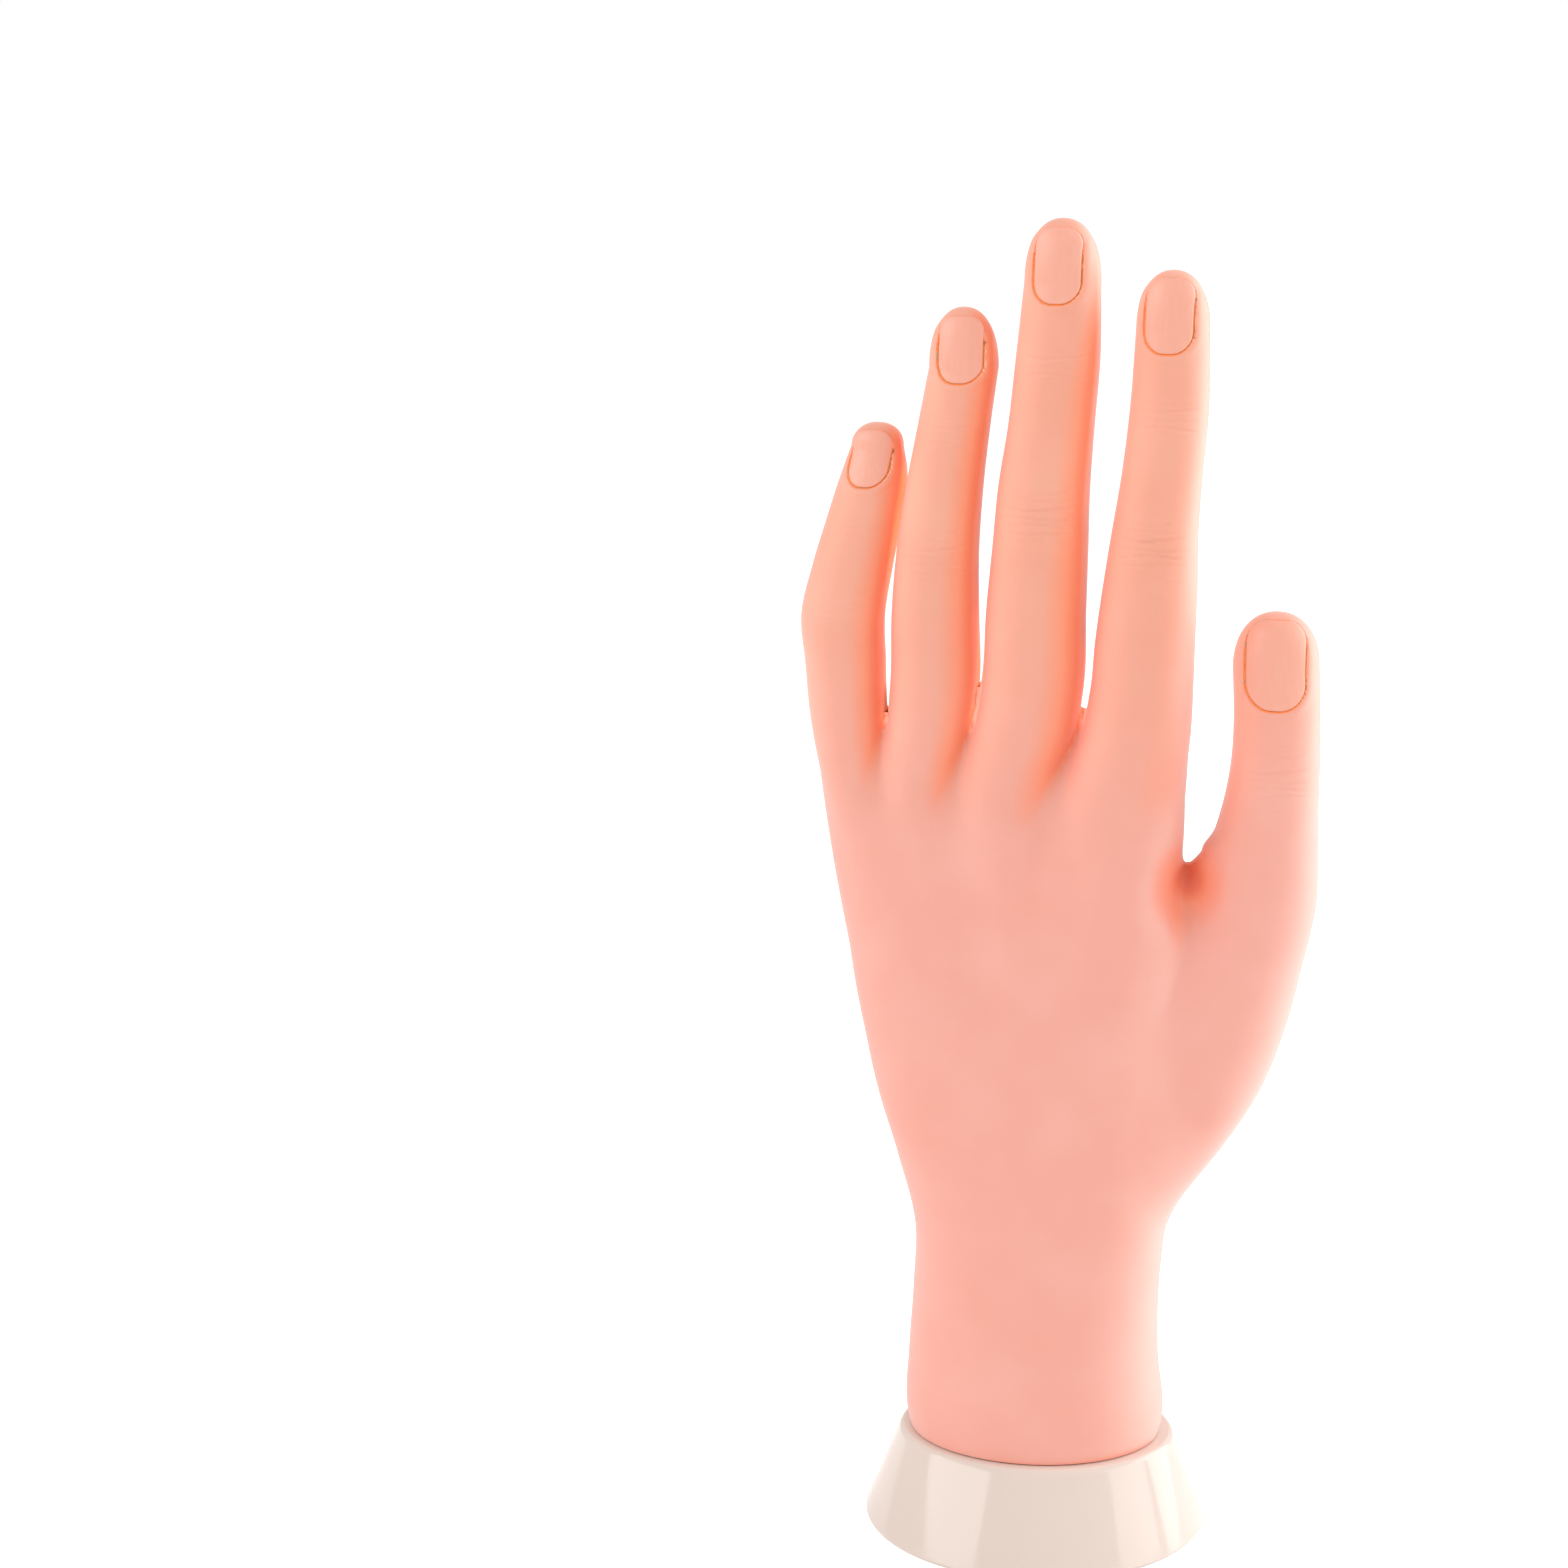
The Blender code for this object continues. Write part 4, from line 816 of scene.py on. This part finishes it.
# Mixed into the colour in turn: the painted shade, an ochre painted into the nail slots, and a pale painted
# highlight on right edges open to the backdrop.
for share, tint in ((painted_shade_share, painted_shade_tint.outputs["Color"]), (groove, colour("#cb8c3c")),
                    (pale, colour("#ffe9de"))):
    tone = add_node(tree, "ShaderNodeMix", {"Factor": share, "A": tone, "B": tint},
                    data_type="RGBA").outputs["Result"]
grain = add_node(tree, "ShaderNodeTexNoise", {"Vector": place, "Scale": 2200.0, "Detail": 3.0}).outputs["Fac"]
satin = add_node(tree, "ShaderNodeMapRange", {"Value": grain, "To Min": 0.46, "To Max": 0.58})
level = add_node(tree, "ShaderNodeMapping", {"Vector": place, "Scale": (180.0, 180.0, 1500.0)})
fine_lines = add_node(tree, "ShaderNodeTexNoise", {
    "Vector": level.outputs["Vector"], "Scale": 1.0, "Detail": 2.0})
lines_relief = add_node(tree, "ShaderNodeBump", {
    "Height": fine_lines.outputs["Fac"], "Strength": 0.35, "Distance": 0.0001})
relief = add_node(tree, "ShaderNodeBump", {
    "Height": grain, "Normal": lines_relief.outputs["Normal"], "Strength": 0.12, "Distance": 0.0001})
# Painted glow, emitted though there is no lamp: where the hand shades itself, strongest in narrow gaps, faint
# in the nail slots, and on left sides that face a neighbour.
glow = 0.0
for share, strength in ((painted_shade_share, 0.1), (slit, 0.45), (groove, 0.03), (left, 0.13)):
    glow = add_node(tree, "ShaderNodeMath", {0: share, 1: strength, 2: glow},
                    operation="MULTIPLY_ADD").outputs[0]
# The painted glow is orange, turning pale pink on left sides lit back by a neighbour.
glow_tint = add_node(tree, "ShaderNodeMix", {
    "Factor": left, "A": colour("#ff7a3c"), "B": colour("#ffc4b4")}, data_type="RGBA")
shader = add_node(tree, "ShaderNodeBsdfPrincipled", {
    "Base Color": tone, "Roughness": satin.outputs["Result"], "Normal": relief.outputs["Normal"],
    "Emission Color": glow_tint.outputs["Result"], "Emission Strength": glow, "IOR": 1.5,
    "Sheen Weight": 0.62, "Sheen Roughness": 0.4, "Sheen Tint": colour("#fff2f2")})
add_node(tree, "ShaderNodeOutputMaterial", {"Surface": shader.outputs[0]})

PALM_CELL = 0.8
PALM_BOX = ((-50, -26, 14), (56, 28, 166))
WRIST_CUT = 17.8
FINGER_COLUMNS = [("little", -99, -29.4), ("ring", -29.4, -12.5), ("middle", -12.5, 7.2),
                  ("index", 7.2, 27.5)]
THUMB_SLANT = math.radians(15.0)
thumb_cut_direction = (math.sin(THUMB_SLANT), 0.0, math.cos(THUMB_SLANT))
thumb_cut_place = (39.9, 5.0, FINGERS["thumb"]["parts"][0])


def between(left, right, lowest):
    """A test for faces between two places across the hand and above a height."""
    return lambda centre: left < centre.x < right and centre.z > lowest


palm_cuts = [((0, 0, WRIST_CUT), (0, 0, -1), between(-99, 99, -99))]
palm_cuts += [((0, 0, FINGERS[name]["parts"][0]), (0, 0, 1), between(left, right, 150))
              for name, left, right in FINGER_COLUMNS]
palm_cuts.append((thumb_cut_place, thumb_cut_direction, between(27.5, 99, 122)))
palm_vinyl = skin_piece("palm_vinyl", hand_skin, *PALM_BOX, PALM_CELL, palm_cuts)
palm_vinyl.data.materials.append(vinyl)
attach(palm_vinyl, "hand")
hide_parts("palm_skin")


# The finger skins: one length of vinyl for each moving bone, parted straight across between the
# hinges. Each crosses one hinge. Knuckles carry fine folds, the palm side creases.

def smooth_outline(across, height, half_width, half_length, cuticle_radius, free_radius):
    """Distance from a nail's outline, which is rounder at the cuticle than at the free edge."""
    radius = np.where(height < 0, cuticle_radius, free_radius)
    a = np.abs(across) - half_width + radius
    b = np.abs(height) - half_length + radius
    return np.minimum(np.maximum(a, b), 0) + np.hypot(np.maximum(a, 0), np.maximum(b, 0)) - radius


CUTICLE_ROUNDNESS = 0.86
FREE_EDGE_ROUNDNESS = 0.74
SLOT_WIDTH = 0.46
SLOT_AT_FREE_EDGE = 0.08
SLOT_DEPTH = 0.46
SLOT_WALL = 0.3


def nail_place(name, points):
    """How far out towards the nail's face, and distance from its outline, for points on a fingertip."""
    line = finger_lines[name]
    low, high, half_width, roll = FINGERS[name]["nail"]
    height = points[..., 2]
    x = points[..., 0] - np.interp(height, line[:, 0], line[:, 1])
    y = points[..., 1] - np.interp(height, line[:, 0], line[:, 2])
    turn = math.radians(roll)
    across = x * math.cos(turn) - y * math.sin(turn)
    outwards = -x * math.sin(turn) - y * math.cos(turn)
    up = height - (low + high) / 2
    edge = smooth_outline(across, up, half_width, (high - low) / 2, CUTICLE_ROUNDNESS * half_width,
                          FREE_EDGE_ROUNDNESS * half_width)
    return outwards, edge


# Besides the slot's depth, this share paints the vinyl ochre with a faint glow there, for light seen through
# the vinyl in the slot's shade.
def slot_share(name, points):
    """How far a point lies inside the nail's slot: 0 outside, 1 on its floor."""
    high = FINGERS[name]["nail"][1]
    outwards, edge = nail_place(name, points)
    closing = ramp(points[..., 2], high - 6.0, high - 1.5)
    slot = SLOT_WIDTH + (SLOT_AT_FREE_EDGE - SLOT_WIDTH) * closing
    return ramp(slot - edge, 0.0, SLOT_WALL) * ramp(outwards, 0.0, 1.0)


hinge_heights = {joint["name"]: joint["pos_m"][2] * 1000 for joint in frame["record"]["behaviour"]["joints"]}
KNUCKLE_FOLDS = {"middle": ((-6.2, -4.6, -3.1, -1.7, -0.4, 1.0, 2.5, 4.1, 5.8), 0.36),
                 "tip": ((-1.9, -0.5, 0.9, 2.2), 0.22), "root": ((), 0.0)}
FOLD_SHARES = {"little": 0.3, "ring": 0.6, "middle": 1.0, "index": 1.0, "thumb": 0.7}
FOLD_WIDTH = 0.3
PALM_CREASES = {"middle": (-0.9, 0.9), "tip": (0.0,), "root": ()}
PALM_CREASE_WIDTH = 0.45
PALM_CREASE_DEPTH = 0.5
ROOT_CREASE_DEPTH = 0.35
PAD_HEIGHT = 0.55
NAIL_FOLD_HEIGHT = 0.16


def finger_relief(name, points):
    """Height of a finger's folds, creases, pads and nail slot above its plain form, in mm."""
    line = finger_lines[name]
    height = points[..., 2]
    x, y, half_width, half_depth = (np.interp(height, line[:, 0], line[:, i]) for i in (1, 2, 3, 4))
    across = (points[..., 0] - x) / half_width
    behind = (y - points[..., 1]) / half_depth
    back = ramp(behind, 0.1, 0.5) * (1 - ramp(np.abs(across), 0.45, 0.9)) * FOLD_SHARES[name]
    back *= 0.55 + 0.45 * ramp(across, -0.5, 0.3)
    front = ramp(-behind, 0.15, 0.75)
    relief = np.zeros(points.shape[:-1])
    creases = [FINGERS[name]["parts"][0] + 1.5]
    for number, word in enumerate(BONES[name]):
        hinge = hinge_heights[f"{name}_{word}_hinge"]
        offsets, depth = KNUCKLE_FOLDS["middle" if name == "thumb" and word == "tip" else word]
        for i, offset in enumerate(offsets):
            wave = 0.22 * np.sin(4.1 * across + 2.3 * i + number) + 0.9 * across ** 2 * np.sign(offset)
            shallow = math.exp(-(offset / 4.5) ** 2) * (0.75 + 0.25 * math.cos(2.7 * i))
            fold = np.exp(-((height - hinge - offset - wave) / FOLD_WIDTH) ** 2)
            relief -= depth * shallow * fold * back
        for offset in PALM_CREASES[word]:
            bow = 0.5 * across ** 2 + 0.15 * np.sin(3.0 * across + offset)
            fold = np.exp(-((height - hinge - offset + bow) / PALM_CREASE_WIDTH) ** 2)
            relief -= PALM_CREASE_DEPTH * fold * front
        if PALM_CREASES[word]:
            creases.append(hinge)
    relief -= ROOT_CREASE_DEPTH * np.exp(-((height - creases[0]) / PALM_CREASE_WIDTH) ** 2) * front
    creases.append(line[-1, 0] + FINGERS[name]["rise"] * 0.6)
    for low, high in zip(creases[:-1], creases[1:]):
        t = np.clip((height - low) / (high - low), 0, 1)
        relief += PAD_HEIGHT * np.sin(math.pi * t) ** 2 * front
    low, high = FINGERS[name]["nail"][:2]
    if np.max(height) > low - 3.0:
        outwards, edge = nail_place(name, points)
        fading = 1 - ramp(height, high - 3.0, high + 0.5)
        relief += NAIL_FOLD_HEIGHT * np.exp(-((edge - 1.1) / 0.75) ** 2) * fading * ramp(outwards, 0.0, 1.0)
        relief -= SLOT_DEPTH * slot_share(name, points)
    return relief


def finger_skin(name, part):
    """The distance function of one length of a finger's skin. The lowest length holds the palm's form
    too."""
    def distance(points):
        if part == 0:
            return finger_on_palm(name, points) - palm_relief(points) - finger_relief(name, points)
        return finger_limbs[name](points) - finger_relief(name, points)
    return distance


SKIN_CELL = 0.42
TIP_CELL = 0.32
MARGIN = 1.5
palm_vinyl_cut = {name: ((0, 0, f["parts"][0]), (0, 0, -1)) for name, f in FINGERS.items()}
palm_vinyl_cut["thumb"] = (thumb_cut_place, tuple(-d for d in thumb_cut_direction))


def everywhere(centre):
    """A test that every face passes."""
    return True


for name, finger in FINGERS.items():
    words = BONES[name]
    line = finger_lines[name]
    for part, word in enumerate(words):
        bottom = finger["parts"][part]
        last = part == len(words) - 1
        top = line[-1, 0] + finger["rise"] + 0.5 if last else finger["parts"][part + 1]
        rows = line[(line[:, 0] > bottom - 8) & (line[:, 0] < top + 4)]
        left, front = (rows[:, 1:3] - rows[:, 3:5]).min(0) - MARGIN
        right, back = (rows[:, 1:3] + rows[:, 3:5]).max(0) + MARGIN
        place, direction = palm_vinyl_cut[name] if part == 0 else ((0, 0, bottom), (0, 0, -1))
        cuts = [(place, direction, everywhere)]
        if not last:
            cuts.append(((0, 0, top), (0, 0, 1), everywhere))
        lowest = bottom - (6.0 if name == "thumb" and part == 0 else 2.0)
        highest = top + (0.5 if last else 2.0)
        skin = skin_piece(f"{name}_{word}_vinyl", finger_skin(name, part), (left, front, lowest),
                          (right, back, highest), TIP_CELL if last else SKIN_CELL, cuts,
                          (lambda points, name=name: slot_share(name, points)) if last else no_slot)
        skin.data.materials.append(vinyl)
        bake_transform(skin)
        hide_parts(f"{name}_{word}_skin")


# The nail plates: five press-in plates of satin plastic, each as wide as its fingertip's face, curved
# across, rounded at the cuticle and held by its edges in the slot.

NAIL_THICKNESS = 0.75
NAIL_PROUD = 0.10
NAIL_EDGE_RADIUS = 0.35
NAIL_COLUMNS = 40
NAIL_ROWS = 56

# Satin injection-moulded plastic: an even warm pink with faint ridges that run from cuticle to edge.
nail_plastic, tree = new_material("satin_nail_plate")
place = add_node(tree, "ShaderNodeTexCoord").outputs["Object"]
along = add_node(tree, "ShaderNodeMapping", {"Vector": place, "Scale": (1800.0, 1800.0, 60.0)})
ridges = add_node(tree, "ShaderNodeTexNoise", {
    "Vector": along.outputs["Vector"], "Scale": 1.0, "Detail": 2.0}).outputs["Fac"]
tint = add_node(tree, "ShaderNodeValToRGB", {"Fac": ridges}, ((0.25, "#ffb29a"), (0.75, "#ffb8a2")))
relief = add_node(tree, "ShaderNodeBump", {"Height": ridges, "Strength": 0.03, "Distance": 0.0001})
shader = add_node(tree, "ShaderNodeBsdfPrincipled", {
    "Base Color": tint.outputs["Color"], "Normal": relief.outputs["Normal"], "IOR": 1.5, "Roughness": 0.38})
add_node(tree, "ShaderNodeOutputMaterial", {"Surface": shader.outputs[0]})


def nail_points(name):
    """Two grids of points, the plate's outer and inner faces, in mm."""
    low, high, half_width, roll = FINGERS[name]["nail"]
    line = finger_lines[name]
    half_length = (high - low) / 2
    up = half_length * np.sin(np.linspace(-math.pi / 2, math.pi / 2, NAIL_ROWS))
    radius = np.where(up < 0, CUTICLE_ROUNDNESS, FREE_EDGE_ROUNDNESS) * half_width
    past = np.clip(np.abs(up) - (half_length - radius), 0, radius)
    row_width = half_width - radius + np.sqrt(radius ** 2 - past ** 2)
    across = np.sin(np.linspace(-math.pi / 2, math.pi / 2, NAIL_COLUMNS))[None, :] * row_width[:, None]
    up = np.repeat(up[:, None], NAIL_COLUMNS, 1)
    height = up + (low + high) / 2
    x = np.interp(height, line[:, 0], line[:, 1])
    y = np.interp(height, line[:, 0], line[:, 2])
    depth = np.interp(height, line[:, 0], line[:, 4])
    turn = math.radians(roll)
    right = np.array([math.cos(turn), -math.sin(turn), 0.0])
    outward = np.array([-math.sin(turn), -math.cos(turn), 0.0])
    centre = np.stack([x, y, height], -1)
    points = centre + across[..., None] * right + depth[..., None] * outward
    field = finger_limbs[name]
    for _ in range(8):
        value = field(points)
        ahead = field(points + outward * 0.05)
        points = points - outward * np.clip(value / np.maximum((ahead - value) / 0.05, 0.2), -1, 1)[..., None]
    normal = slopes(field, points.reshape(-1, 3)).reshape(points.shape)
    normal /= np.linalg.norm(normal, axis=-1)[..., None]
    edge = -smooth_outline(across, up, half_width, half_length, CUTICLE_ROUNDNESS * half_width,
                           FREE_EDGE_ROUNDNESS * half_width)
    fall = 1 - np.clip(edge / NAIL_EDGE_RADIUS, 0, 1)
    rounding = NAIL_EDGE_RADIUS * (1 - np.sqrt(np.clip(1 - fall ** 2, 0, 1)))
    proud = NAIL_PROUD + 0.35 * ramp(up, half_length - 5.0, half_length)
    return points + normal * (proud - rounding)[..., None], points - normal * NAIL_THICKNESS


for name in FINGERS:
    outer, inner = nail_points(name)
    mesh = bpy.data.meshes.new(f"{name}_nail_plate")
    form = bmesh.new()
    layers = [[[form.verts.new(p * 0.001) for p in row] for row in layer] for layer in (outer, inner)]
    for i, j in itertools.product(range(NAIL_ROWS - 1), range(NAIL_COLUMNS - 1)):
        for k, layer in enumerate(layers):
            ring = [layer[i][j], layer[i][j + 1], layer[i + 1][j + 1], layer[i + 1][j]]
            form.faces.new(ring if k == 0 else ring[::-1])
    rim = [(0, j) for j in range(NAIL_COLUMNS)] + [(i, NAIL_COLUMNS - 1) for i in range(1, NAIL_ROWS)]
    rim += [(NAIL_ROWS - 1, j) for j in reversed(range(NAIL_COLUMNS - 1))]
    rim += [(i, 0) for i in reversed(range(1, NAIL_ROWS - 1))]
    for (i, j), (m, n) in zip(rim, rim[1:] + rim[:1]):
        form.faces.new([layers[0][i][j], layers[1][i][j], layers[1][m][n], layers[0][m][n]])
    bmesh.ops.recalc_face_normals(form, faces=form.faces[:])
    form.to_mesh(mesh)
    form.free()
    mesh.shade_smooth()
    plate = bpy.data.objects.new(f"{name}_nail_plate", mesh)
    scene.collection.objects.link(plate)
    mesh.materials.append(nail_plastic)
    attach(plate, f"{name}_tip")
    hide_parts(f"{name}_nail")
